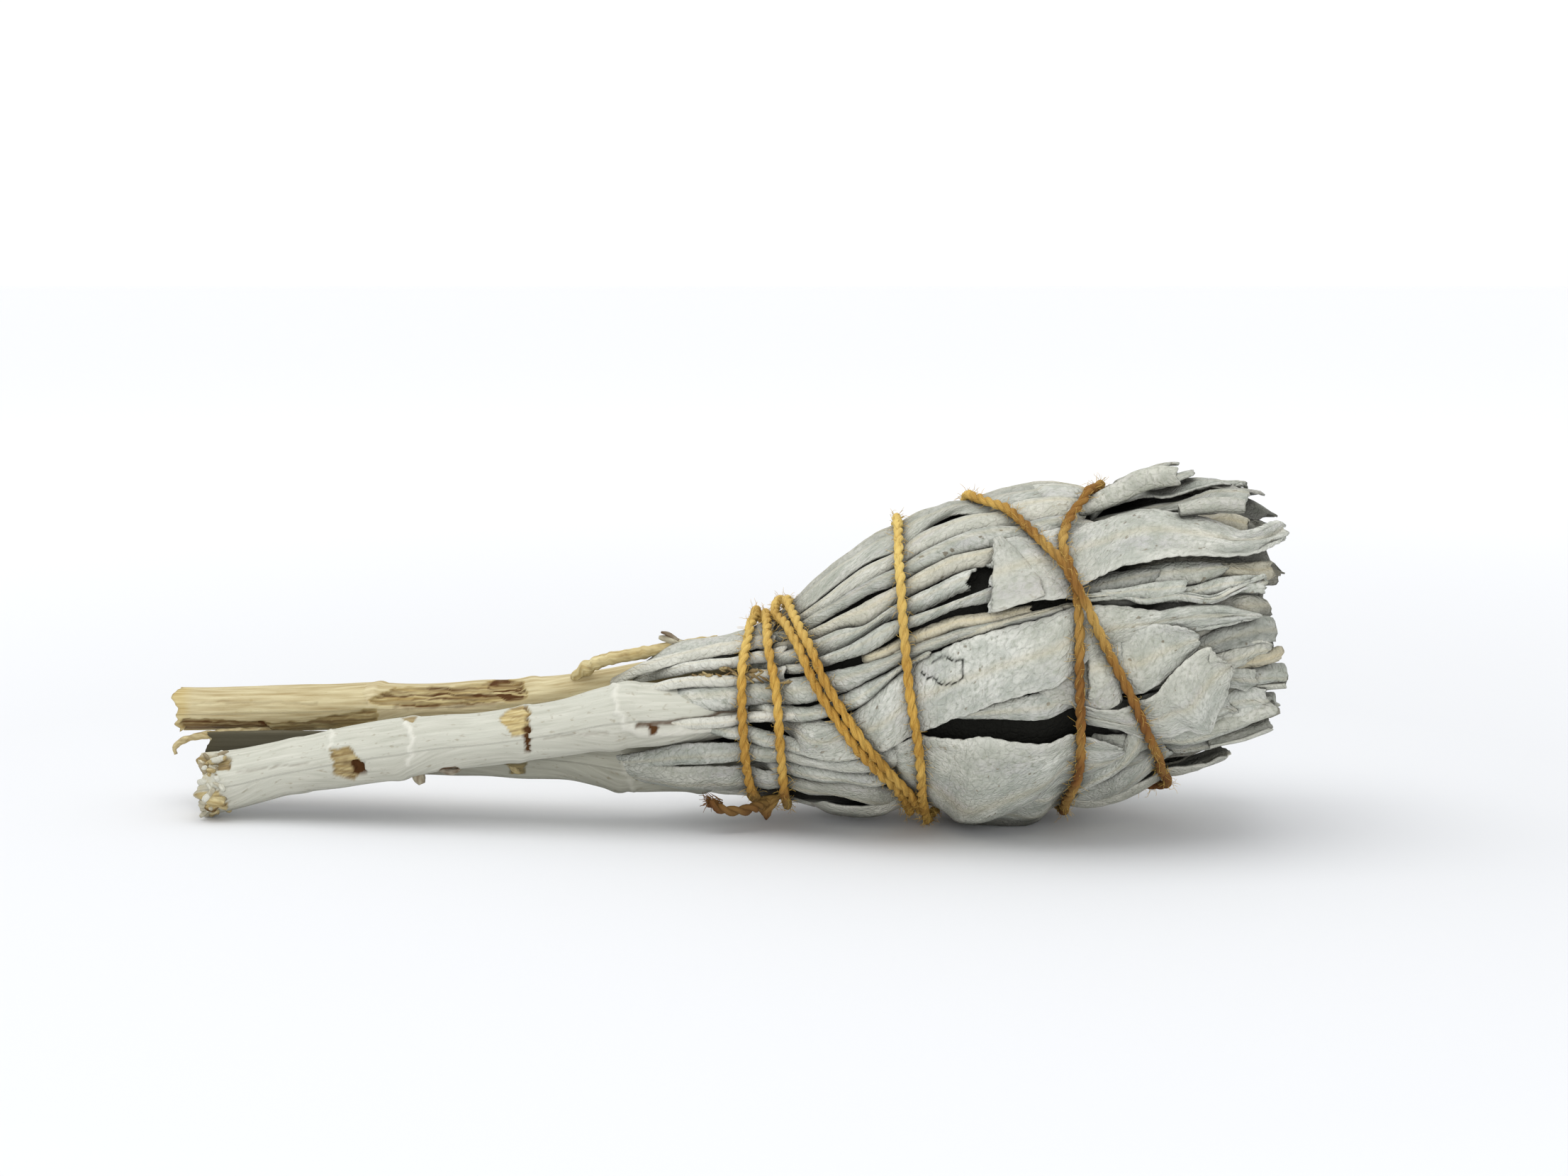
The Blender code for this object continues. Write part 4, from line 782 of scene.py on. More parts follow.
def add_roll(builder, stops, opening, seed):
    """A leaf tip rolled into a tube open along one side. Its stops: x and height as seen, depth, radius."""
    points = [tuple(at_depth(stop[:2], stop[2])) for stop in stops]
    lengths = path_lengths(points)
    radius_at = curve_through([(length, stop[3]) for length, stop in zip(lengths, stops)])
    rows = max(12, int(lengths[-1] / 0.4))
    columns = 26
    grid = np.zeros((rows, columns, 3))
    places = []
    tints = []
    for i in range(rows):
        share = i / (rows - 1)
        along = share * lengths[-1]
        middle = Vector(point_along(points, lengths, share))
        ahead = (Vector(point_along(points, lengths, min(share + 0.02, 1)))
                 - Vector(point_along(points, lengths, max(share - 0.02, 0)))).normalized()
        side = (Vector((0, -1, 0)) + ahead * ahead.y).normalized()
        other = ahead.cross(side)
        for j in range(columns):
            v = 2 * j / (columns - 1) - 1
            turn = math.radians(opening + 180 + 195 * v)
            radius = radius_at(along) * (1 - 0.28 * (j / columns))
            radius += 0.25 * noise((along * 0.3, v * 2, seed))
            end = 1.1 * noise((v * 2.5, seed, 5.0)) * smooth((share - 0.75) / 0.25)
            grid[i, j] = middle + (side * cos(turn) + other * sin(turn)) * radius + ahead * end
            places.append((along, v * 6, seed * 10.0))
            # Painted shade: the inner lap of the roll is tinted darker.
            inner = 0.5 * smooth((v - 0.2) / 0.6)
            tints.append((0.1, inner, 0.3 * smooth((abs(v) - 0.85) / 0.15)))
    thickness = np.full((rows, columns), LEAF_THICKNESS)
    points, faces = sheet_shape(grid, thickness, np.ones((rows - 1, columns - 1), bool))
    builder.add(points, faces, places + places, tints + tints)


# Rolled tips: leafy stem, stops as seen and the direction in which the roll is open.
ROLLS = [
    ("back", [(62, 55.6, -11, 1.2), (67, 57.4, -11, 1.7), (72, 60, -11, 2.0), (76, 61.3, -11, 1.9),
         (79.6, 61.4, -11, 1.6)], 200),
    ("back", [(80, 55.4, -17, 1.0), (86, 56.4, -17, 1.3), (91.6, 56.2, -17, 1.1)], 120),
    ("front", [(86, 25.6, -21, 1.3), (94, 25.1, -21, 1.6), (99.6, 25.4, -21, 1.5)], 30),
    ("low", [(84, 16.2, -20, 1.3), (91, 18.4, -20, 1.7), (97.6, 20.6, -20, 1.4)], 320),
    ("low", [(86, 14, -17, 1.0), (92, 15.6, -17, 1.3), (97, 17.6, -17, 1.2)], 40),
    ("front", [(84, 31.6, -22, 0.9), (90, 32.8, -22, 1.2), (96, 33.6, -22, 1.1)], 80),
]


def wrapped_leaf(angle, width, level, start, end, seed, **more):
    """A leaf laid along the bundle at this angle, as wide as given at the belly."""
    draw = random.Random(seed)
    drift = draw.uniform(-1, 1) * more.pop("drift", 7)
    upper = []
    lower = []
    for k in range(9):
        t = k / 8
        x = start + (end - start) * t
        size = max(0.5 * (half_height(x) + half_depth_at(x)) + level, 5)
        half = 0.5 * width * (0.42 + 0.58 * smooth(t / 0.5)) * (1 - 0.45 * smooth((t - 0.78) / 0.22))
        spread = math.degrees(half / size)
        middle = angle + drift * (t - 0.5) + draw.uniform(-1.2, 1.2)
        upper.append((x + draw.uniform(-1, 1), middle + spread * draw.uniform(0.92, 1.08)))
        lower.append((x + draw.uniform(-1, 1), middle - spread * draw.uniform(0.92, 1.08)))
    tint = (draw.uniform(0, 0.25), draw.uniform(0, 0.2), draw.uniform(0, 0.25))
    values = {"seen": False, "tint": tint, "step": 1.15, "across": 1.3, "wave": 0.5, "tear": 1.6}
    values.update(more)
    return leaf("wrapped", level, values.pop("crown", 1.5), upper, lower, **values)


def add_core(builder):
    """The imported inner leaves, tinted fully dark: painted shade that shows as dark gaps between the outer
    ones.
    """
    sides = 72
    stations = 60
    points = []
    for i in range(stations):
        x = -9 + 87 * i / (stations - 1)
        for k in range(sides):
            angle = 360 * k / sides
            wrinkle = 0.7 * noise((x * 0.05, angle * 0.12, 2.0))
            place = on_bundle(x, angle, -core_depth_at(x) + wrinkle)
            place.z = max(place.z, 1.0)
            points.append(place)
    faces = ring_faces(stations, sides)
    faces.append(tuple(range(sides - 1, -1, -1)))
    faces.append(tuple((stations - 1) * sides + k for k in range(sides)))
    places = [(p.x, math.atan2(p.z - 25, p.y) * 20, 900) for p in points]
    # Painted shade: the core is tinted fully dark.
    builder.add(points, faces, places, [(0.1, 1.0, 0)] * len(points))


def hidden_leaves(sprig, builder, first, last, seed):
    """The leaves on the side that the photo doesn't show, between two angles."""
    draw = random.Random(seed)
    angle = first
    k = 0
    while angle < last:
        width = draw.choice((8, 10, 12, 14, 16, 17))
        spread = math.degrees(width / 29)
        level = draw.uniform(-0.35, 0.15) - (k % 2) * draw.uniform(0.5, 0.9)
        spec = wrapped_leaf(
            angle + 0.42 * spread, width, level, draw.uniform(-14, 2), draw.uniform(88, 99), seed + k,
            crown=draw.uniform(1.2, 2.0), crease=draw.choice((-0.35, -0.2, 0.0, 0.25)),
            wave=draw.uniform(0.4, 0.9), lift=(draw.uniform(-0.2, 0.6), draw.uniform(-0.2, 0.6)),
            curl=draw.uniform(-0.8, 1.2), ruffle=1.1, root=0.22, drift=12)
        add_leaf(builder, sprig, spec, seed + k)
        angle += 0.8 * spread
        k += 1
    for k in range(max(2, int((last - first) / 34))):
        spec = wrapped_leaf(
            draw.uniform(first + 12, last - 40), draw.uniform(5, 8), 0.45, draw.uniform(4, 20),
            draw.uniform(60, 96), seed + 80 + k, crown=1.2, wave=0.5, drift=16)
        add_leaf(builder, sprig, spec, seed + 80 + k)
    # A deep layer of leaves tinted dark: painted shade between the outer leaves.
    count = int(round((last - first) / 27)) + 1
    for k in range(count):
        spec = wrapped_leaf(
            first + (last - first) * (k + 0.5) / count, 15, -2.7, 6, 97 - 3 * (k % 3), seed + 50 + k,
            step=1.6, across=1.8, tint=(0.1, 0.5, 0))
        add_leaf(builder, sprig, spec, seed + 50 + k)


def neck_back(sprig, builder, angles, seed):
    """Leaf stalks that join the hidden leaves to the stems."""
    draw = random.Random(seed)
    for k, angle in enumerate(angles):
        spec = wrapped_leaf(
            angle, 9, draw.uniform(-1.4, -0.5), draw.uniform(-24, -18), 16, seed + k, root=0.55,
            step=0.8, across=0.9, wave=0.5, tear=0.4, crown=1.2, tint=(0.05, 0.05, 0.3))
        add_leaf(builder, sprig, spec, seed + k)


# Rings of leaves in the open end: how far under the outline, and how many.
INNER_RINGS = [(-4.6, 15), (-8.5, 12), (-12.0, 9), (-15.5, 7), (-19.0, 5), (-22.5, 3)]


def inner_leaves(builder, seed):
    """Rolled leaves packed inside the open end of the bundle."""
    for ring, (level, count) in enumerate(INNER_RINGS):
        draw = random.Random(seed + ring)
        for k in range(count):
            angle = 360 * (k + 0.5 * (ring % 2)) / count + draw.uniform(-13, 13)
            end = 96 - 0.9 * ring - draw.uniform(0, 12)
            width = (12.5 - 0.9 * ring) * draw.uniform(0.7, 1.25)
            # Each leaf is darkened by a random share: painted shade inside the open end.
            spec = wrapped_leaf(
                angle, width, level + draw.uniform(-1.4, 1.0), 56 + 2 * ring, end, seed + 20 * ring + k,
                step=1.3, across=1.2, crown=draw.uniform(-1.5, 3.6), wave=1.3, tear=2.4, root=0.05,
                ruffle=1.4, tint=(draw.uniform(0, 0.35), draw.uniform(0.05, 0.4), 0))
            sprig = "back" if 20 < angle % 360 < 180 else "low"
            add_leaf(builder, sprig, spec, seed + 20 * ring + k)


def under_leaves(builder, seed):
    """Leaves close under the outer ones at the front, seen through the gaps and tinted dark as painted
    shade.
    """
    for k in range(9):
        spec = wrapped_leaf(-60 + 18 * k, 15, -3.0, 2, 93 - 2 * (k % 3), seed + k, step=1.4, across=1.6,
                            tint=(0.05, 0.4, 0))
        add_leaf(builder, "front", spec, seed + k)


# Marks on the stems as seen: stem, outline, depth, and how tan, dark and pale they are.
STEM_MARKS = [
    ("back", [(-64.5, 21.4), (-60, 23.6), (-50, 23.8), (-40, 24.8), (-37, 24.4), (-36.5, 22.2), (-42, 21.4),
         (-50, 20.8), (-58, 20.6)], 0.5, (0.2, 0.34, 0.0, 1.0)),
    ("back", [(-43, 24.4), (-40, 25.2), (-37.4, 24.6), (-37.6, 22.2), (-41, 21.8)], 0.1,
        (0.1, 0.35, 0.0, 1.0)),
    ("back", [(-84, 16.9), (-76, 17.4), (-70, 18.6), (-63.8, 20), (-63.6, 17.8), (-70, 16.9), (-78, 16.2)],
        0.35, (0.5, 0.35, 0.0, 0.6)),
    ("back", [(-98.4, 17.9), (-92, 17.6), (-84, 17.2), (-83, 16.2), (-90, 15.4), (-98.4, 15)], 0.7,
        (0.3, 0.62, 0.0, 0.6)),
    ("back", [(-65.4, 24), (-63.6, 24.2), (-63.8, 18), (-65.2, 18)], -0.25, (0.0, 0.0, 0.8, 0.0)),
    ("back", [(-64, 19.6), (-50, 20.6), (-42, 20.8), (-42, 19.4), (-54, 18.4), (-63, 17.6)], -0.1,
        (0.0, 0.0, 0.9, 0.0)),
    ("front", [(-71.5, 12.6), (-68.5, 12.8), (-66, 9.2), (-67.4, 7.2), (-71, 8.2)], 0.5,
        (0.3, 0.4, 0.0, 0.8)),
    ("front", [(-67.8, 10.2), (-65.8, 10), (-65.8, 8.2), (-67.6, 8.2)], 1.4, (0.0, 1.0, 0.0, 0.0)),
    ("front", [(-41, 18.6), (-38.6, 20.2), (-36.2, 20.4), (-36.2, 16), (-38.6, 15.2)], 0.35,
        (0.4, 0.1, 0.0, 0.7)),
    ("front", [(-36.8, 17), (-36.2, 17), (-36, 12.6), (-36.6, 12.6)], 0.5, (0.0, 0.8, 0.0, 0.0)),
    ("front", [(-59, 19.2), (-57.4, 20), (-56, 19.4), (-56.8, 18), (-58.4, 18)], 0.5, (0.4, 0.4, 0.0, 0.5)),
    ("front", [(-94.6, 11.6), (-90, 11.2), (-90.2, 9.2), (-94, 9)], 0.9, (0.3, 0.5, 0.0, 0.6)),
    ("front", [(-95.6, 4.8), (-92, 5), (-91, 2.4), (-94.6, 2)], -0.5, (0.2, 0.35, 0.0, 1.0)),
    ("front", [(-52, 9), (-49, 9.2), (-49, 8), (-52, 8)], 0.3, (0.2, 0.8, 0.0, 0.3)),
    ("front", [(-14.3, 16.7), (-13.3, 16.7), (-13.3, 15.7), (-14.3, 15.7)], 0.4, (0.0, 1.0, 0.0, 0.0)),
    ("low", [(-40, 10.4), (-37, 10.2), (-37.4, 8.4), (-39.4, 8.6)], -0.4, (0.3, 0.3, 0.0, 0.7)),
]
# Joints on the stems: stem, x, ridge height and width.
STEM_NODES = [
    ("front", -57.5, 0.35, 1.6), ("front", -19.0, 0.5, 2.4), ("front", -78, 0.2, 2.0),
    ("front", -36.6, 0.3, 1.4), ("back", -64.5, 0.35, 1.2), ("back", -36, 0.3, 1.6),
    ("low", -19.0, 0.5, 1.8), ("low", -5.0, 0.4, 1.6), ("low", -60, 0.3, 1.6),
]
# Fine lines on the stems as seen: stem, path, half width, depth, how dark and how pale. The dark in the
# grooves is painted shade and the pale on the ridges painted highlight.
STEM_LINES = [
    ("front", [(-20.6, 24), (-20.2, 20), (-18.6, 17), (-16, 15.6), (-10, 15.7), (0, 17)], 0.55, -0.5, 0.0,
        0.6),
    ("front", [(-17, 16.9), (-10, 17.6), (-4, 18.4), (-1, 19.6), (5, 20)], 0.3, 0.55, 0.8, 0.0),
    ("front", [(-36.4, 20.6), (-36.1, 16), (-36.3, 12.6)], 0.28, 0.4, 0.55, 0.0),
    ("front", [(-57.8, 17.6), (-57, 14), (-57.8, 10)], 0.4, -0.25, 0.0, 0.7),
    ("front", [(-71.4, 16.8), (-71.8, 13)], 0.35, -0.2, 0.0, 0.6),
    ("front", [(-88, 8.6), (-82, 9.6), (-76, 10)], 0.2, 0.2, 0.3, 0.0),
    ("front", [(-33, 14.6), (-27, 15.4), (-22, 15.6)], 0.22, 0.2, 0.25, 0.0),
    ("low", [(-19.4, 12.6), (-18.6, 9), (-17.4, 5.6)], 0.4, -0.35, 0.0, 0.5),
    ("low", [(-5.6, 12.6), (-5.2, 10.6), (-4.4, 9), (0, 8.8)], 0.3, 0.4, 0.6, 0.0),
    ("back", [(-96, 21), (-84, 21.2), (-74, 20.8)], 0.2, 0.15, 0.2, 0.0),
    ("back", [(-60, 20.3), (-50, 20.4), (-42, 20.9)], 0.3, 0.3, 0.5, 0.0),
    ("back", [(-62, 22.6), (-54, 22.8), (-46, 22.4), (-43, 23)], 0.25, 0.25, 0.5, 0.0),
]
# How far apart a stem's rings are, their points and where they end in the bundle, and each stem's tint; the
# low stem's dark share is painted shade from the stems over it.
STEM_STEP = 0.38
STEM_SIDES = 96
STEM_END = 4.0
STEM_TINTS = {"front": (0.04, 0.02, 0.12), "back": (0.78, 0.05, 0.0), "low": (0.1, 0.4, 0.0)}


def soft_mask(outline, x, z):
    """1 inside this outline, falling to 0 just outside it."""
    if inside(outline, x, z):
        return 1.0
    gap = distance_to_line(outline + outline[:1], x, z)
    return 1 - smooth(gap / 0.4)


def add_stem(builder, name, seed):
    """One stem with its grain, joints, scars and cut end."""
    draw = random.Random(seed)
    side_at, height_at, radius_at = STEM_PLACES[name]
    sides = STEM_SIDES
    first = STEMS[name][0][0]
    count = int((STEM_END - first) / STEM_STEP)
    points = []
    places = []
    tints = []
    marks = [m for m in STEM_MARKS if m[0] == name]
    lines = [m for m in STEM_LINES if m[0] == name]
    base = STEM_TINTS[name]
    for i in range(count):
        x = first + STEM_STEP * i
        centre = Vector((x, side_at(x), height_at(x)))
        radius = radius_at(x)
        for k in range(sides):
            turn = 2 * pi * k / sides
            out = Vector((0, -cos(turn), sin(turn)))
            grain = noise((x * 0.03, 3 * cos(turn), 3 * sin(turn) + 7 * seed)) * 0.11
            grain += noise((x * 0.1, 8 * cos(turn), 8 * sin(turn) + 7 * seed)) * 0.05
            grain += noise((x * 0.12, 1.2 * cos(turn), 1.2 * sin(turn) + seed)) * 0.25
            ridge = 0.0
            for owner, node_x, height, width in STEM_NODES:
                if owner == name:
                    lean = x - node_x - 1.2 * sin(turn + node_x)
                    ridge += height * math.exp(-(lean / width) ** 2)
                    ridge -= 0.25 * height * math.exp(-((lean - width) / 0.5) ** 2)
            reach = radius * 0.985 + grain + ridge
            tan, dark, pale = base
            wood = 0.0
            place = centre + out * reach
            if cos(turn) > -0.2:
                seen_x, seen_z = as_seen(place)
                seen_x += 0.9 * noise((seen_x * 0.5, seen_z * 0.9, 31.0))
                seen_x += 0.25 * noise((seen_x * 1.6, seen_z * 2.6, 33.0))
                seen_z += 0.5 * noise((seen_x * 0.4, seen_z * 0.9, 35.0))
                seen_z += 0.15 * noise((seen_x * 1.2, seen_z * 2.6, 37.0))
                # Painted shade in the grooves and painted highlight on the ridges.
                for _, path, half_width, depth, shade, light in lines:
                    if abs(seen_x - path[0][0]) > 26:
                        continue
                    line = 1 - smooth(distance_to_line(path, seen_x, seen_z) / (2 * half_width))
                    reach -= depth * line
                    dark += shade * line
                    pale += light * line
                for _, outline, depth, look in marks:
                    if abs(seen_x - outline[0][0]) > 32:
                        continue
                    mask = soft_mask(outline, seen_x, seen_z)
                    if mask > 0:
                        reach -= depth * mask
                        tan += look[0] * mask
                        dark += look[1] * mask + 1.3 * look[3] * mask * (1 - mask)
                        pale += look[2] * mask
                        wood = max(wood, look[3] * mask)
                        streak = noise((seen_x * 0.13, seen_z * 2.4, 51.0 + seed))
                        dark += 0.9 * look[3] * mask * streak
            # Painted shade: every stem is tinted darker on its underside.
            dark += 0.10 * smooth(0.5 - 0.9 * sin(turn))
            # Painted shade: the low stem, shaded by the other stems, is tinted darker towards its left end,
            # most on its front side, and browner there.
            if name == "low":
                wood += 0.3 * smooth((-x - 45) / 25)
                dark += (0.25 + 0.4 * smooth(0.5 + cos(turn))) * smooth((-x - 50) / 18) - 0.08
            if sin(turn) < -0.3:
                reach = min(reach, (centre.z - 0.02) / -sin(turn))
            ragged = 0.0
            if x < first + 3:
                share = 1 - (x - first) / 3
                ragged = 1.5 * noise((1.3 * cos(turn), 1.3 * sin(turn), seed + 0.5))
                ragged += 1.0 * noise((5 * cos(turn), 5 * sin(turn), seed + 2.5))
                ragged *= share * (1.5 if name == "front" else 0.7)
                wood += 0.4 * share
            points.append(centre + out * reach + Vector((ragged, 0, 0)))
            places.append((x, turn * radius, 700 + seed))
            tints.append((tan + wood, dark, pale))
    faces = ring_faces(count, sides)
    # The cut end: rings that step in to the pith.
    previous = list(range(sides))
    centre = Vector((first, side_at(first), height_at(first)))
    for share, depth, tan, dark in ((0.86, 0.1, 0.7, 0.05), (0.62, 0.5, 0.85, 0.1), (0.4, 0.3, 0.7, 0.1),
                                    (0.26, 1.0, 0.4, 0.5), (0.1, 1.4, 0.3, 0.7)):
        start = len(points)
        for k in range(sides):
            turn = 2 * pi * k / sides
            edge = points[k] - centre
            rough = 0.5 * noise((3 * share * cos(turn), 3 * share * sin(turn), seed))
            place = centre + Vector((edge.x * share + depth + rough, edge.y * share, edge.z * share))
            points.append(place)
            places.append((first, share * turn * 4, 720 + seed))
            tints.append((tan + draw.uniform(-0.1, 0.1), dark, 0.1))
        for k in range(sides):
            faces.append((previous[(k + 1) % sides], previous[k], start + k, start + (k + 1) % sides))
        previous = list(range(start, start + sides))
    points.append(centre + Vector((1.5, 0, 0)))
    places.append((first, 0, 720 + seed))
    tints.append((0.3, 0.8, 0))
    for k in range(sides):
        faces.append((previous[(k + 1) % sides], previous[k], len(points) - 1))
    last = (count - 1) * sides
    faces.append(tuple(last + k for k in range(sides)))
    builder.add(points, faces, places, tints)


def add_tube(builder, path, radii, sides, tint, place=800.0):
    """A closed tube along a path of points, with a radius for each."""
    points = []
    places = []
    side = Vector((0.3, 0.2, 1)).normalized()
    along = 0.0
    for i, spot in enumerate(path):
        ahead = (path[min(i + 1, len(path) - 1)] - path[max(i - 1, 0)]).normalized()
        side = (side - ahead * side.dot(ahead)).normalized()
        other = ahead.cross(side)
        if i:
            along += (path[i] - path[i - 1]).length
        for k in range(sides):
            turn = 2 * pi * k / sides
            points.append(spot + (side * cos(turn) + other * sin(turn)) * radii[i])
            places.append((along, turn * radii[i], place))
    points.append(path[0].copy())
    points.append(path[-1].copy())
    places.append((0, 0, place))
    places.append((along, 0, place))
    faces = ring_faces(len(path), sides)
    last = (len(path) - 1) * sides
    for k in range(sides):
        after = (k + 1) % sides
        faces.append((len(points) - 2, after, k))
        faces.append((len(points) - 1, last + k, last + after))
    tints = [tint(p) for p in points] if callable(tint) else [tint] * len(points)
    builder.add(points, faces, places, tints)


def string_tint(place):
    """How brown, dark and pale the string is here: paler up left and browner to the right and below, painted
    light and shade, and dark at the tail's end low at the left.
    """
    blotch = 0.35 * noise((place.x * 0.12, place.y * 0.12, place.z * 0.12))
    # Painted light and shade: paler towards the top left, browner to the right and low down.
    brown = 0.08 + 0.62 * smooth((place.x - 38) / 20) + 0.26 * smooth((28 - place.z) / 22) + blotch
    brown += 0.75 * smooth((9.5 - place.z) / 6) * smooth((15 - place.x) / 5)
    pale = 0.45 * smooth((place.z - 26) / 14) * (1 - smooth((place.x - 36) / 12)) - blotch
    seen_x, seen_z = as_seen(place)
    dark = (0.8 + blotch) * smooth((4.8 - seen_z) / 1.5) * smooth((5.5 - seen_x) / 2.5)
    return (max(brown, 0), max(dark, 0), max(pale, 0))


def add_twig(builder, stops, tint, seed):
    """A rough twig or splinter through stops given as seen: x, height, depth and radius."""
    path = []
    radii = []
    points = [tuple(at_depth(stop[:2], stop[2])) for stop in stops]
    lengths = path_lengths(points)
    radius_at = curve_through([(length, stop[3]) for length, stop in zip(lengths, stops)])
    count = max(6, int(lengths[-1] / 0.4))
    for k in range(count + 1):
        along = lengths[-1] * k / count
        path.append(Vector(point_along(points, lengths, k / count)))
        radii.append(radius_at(along) * (1 + 0.35 * noise((along * 0.7, seed, 3.0))))

    def speckled(place):
        grain = noise((place.x * 0.9, place.y * 2.5, place.z * 2.5 + seed))
        return (tint[0], max(tint[1] + 0.5 * grain, 0), tint[2])

    add_tube(builder, path, radii, 14, speckled, 700.0 + seed)


def add_crumbs(builder, outline, count, tint, seed):
    """Small broken bits of bark that lie in the neck inside this outline as seen."""
    draw = random.Random(seed)
    xs = [p[0] for p in outline]
    zs = [p[1] for p in outline]
    while count:
        seen = (draw.uniform(min(xs), max(xs)), draw.uniform(min(zs), max(zs)))
        if not inside(outline, *seen):
            continue
        count -= 1
        x, angle = sight_to_bundle(seen)
        spot = on_bundle(x, angle, draw.uniform(-0.1, 0.9))
        heading = Vector((1, draw.uniform(-0.5, 0.5), draw.uniform(-0.9, 0.9))).normalized()
        size = draw.uniform(0.5, 1.5)
        path = [spot - heading * size, spot, spot + heading * size * 0.8]
        width = draw.uniform(0.18, 0.42)
        shade = (tint[0], max(tint[1] + draw.uniform(-0.3, 0.2), 0), tint[2])
        add_tube(builder, path, [width * 0.5, width, width * 0.6], 6, shade, 760.0 + count)


def add_flakes(builder, name, count, reach, seed):
    """Torn flakes of bark and wood round the broken end of a stem."""
    draw = random.Random(seed)
    side_at, height_at, radius_at = STEM_PLACES[name]
    first = STEMS[name][0][0]
    for k in range(count):
        x = first + draw.uniform(0.5, reach)
        turn = draw.uniform(-1.5, 1.5)
        out = Vector((0, -cos(turn), sin(turn)))
        radius = radius_at(x)
        spot = Vector((x, side_at(x), height_at(x))) + out * radius * draw.uniform(0.82, 1.02)
        heading = Vector((-1, draw.uniform(-1.6, 1.6), draw.uniform(-1.6, 1.6)))
        heading += out * draw.uniform(-0.3, 0.3)
        heading.normalize()
        size = draw.uniform(0.5, 1.3)
        width = draw.uniform(0.3, 0.7)
        path = [spot + heading * size * share for share in (-1, -0.3, 0.4, 1)]
        for place in path:
            place.z = max(place.z, width + 0.05)
        tint = draw.choice(FLAKE_TINTS)
        widths = [width * draw.uniform(0.5, 0.9), width, width * draw.uniform(0.8, 1.1), width * 0.7]
        add_tube(builder, path, widths, 7, tint, 780.0 + k)


# Loose bits on the stems: stem, stops as seen (x, height, depth, radius) and tint.
TWIGS = [
    ("back", [(-28, 25.6, 4.5, 0.7), (-25.5, 27.4, 3, 1.3), (-22, 28.9, 1.5, 1.15), (-16, 30, 0.5, 1.1),
         (-10, 31.2, 0, 1.0), (-2, 32.4, 0.6, 0.9)], (0.95, 0.05, 0)),
    ("back", [(-8.4, 31.6, -0.4, 0.85), (-10.4, 32.4, -0.4, 0.7), (-12.6, 32.9, -0.3, 0.3)],
        (0.35, 0.25, 0)),
    ("back", [(-82, 16.4, 13.4, 0.35), (-88, 15.9, 12.9, 0.75), (-94, 15.3, 12.4, 0.7), (-98, 14.4, 12, 0.6),
         (-99.8, 13, 12, 0.5), (-99.6, 11.8, 12, 0.35)], (0.85, 0.12, 0)),
    ("front", [(-56.6, 9.2, -2.4, 1.2), (-56, 7.8, -3, 1.1), (-55.4, 6.4, -3.2, 0.6)], (0.35, 0.45, 0)),
    ("front", [(-58, 8.6, -2.6, 0.6), (-58.6, 7.6, -3, 0.3)], (0.5, 0.4, 0)),
    ("front", [(-52, 9.2, -3, 0.7), (-50, 8.6, -3.6, 0.6), (-48.4, 9.2, -3.4, 0.3)], (0.2, 0.6, 0)),
    ("front", [(-94.4, 3.6, -1.6, 0.8), (-92.8, 3.5, -2.4, 1.2), (-91, 3.2, -2.4, 0.7)], (0.95, 0.2, 0)),
    ("low", [(-40, 10.4, 0.6, 0.6), (-38.6, 9.2, 0.2, 0.7), (-37.6, 8.4, 0.4, 0.4)], (0.9, 0.35, 0)),
    ("back", [(-9.2, 32.2, -0.6, 0.45), (-10.8, 33.4, -0.7, 0.4), (-12.2, 33.8, -0.7, 0.2)], (0.3, 0.75, 0)),
]
# How many flakes the front stem's broken end has, and how far back they go.
FLAKE_COUNT = 70
FLAKE_REACH = 4.6
FLAKE_TINTS = [(0.1, 0.0, 0.3), (0.3, 0.15, 0.1), (0.9, 0.25, 0), (0.5, 0.5, 0), (0.05, 0.0, 0.5)]
# Crumbs of bark in the neck: outline as seen, and how many.
CRUMBS = [
    ([(-9.5, 24), (-7, 25.8), (-3, 26.6), (0, 27.3), (0, 25.8), (-4, 24.8)], 16),
    ([(-0.5, 24.8), (1, 26.6), (7.5, 26.8), (7, 25)], 22),
    ([(7, 23.4), (8, 25.4), (11, 25), (10, 23.6)], 6),
]


def highest_leaf(tree, middle, outward):
    """How far out the leaves reach along this direction and just beside it."""
    best = 0.0
    beside = outward.cross(Vector((1, 0, 0)))
    for step_x, step_side in ((-0.5, 0), (0.5, 0), (0, -0.5), (0, 0.5), (0, 0)):
        start = middle + Vector((step_x, 0, 0)) + beside * step_side + outward * 60
        place, _, _, _ = tree.ray_cast(start, -outward, 60)
        if place is not None:
            best = max(best, (place - middle).dot(outward))
    return best


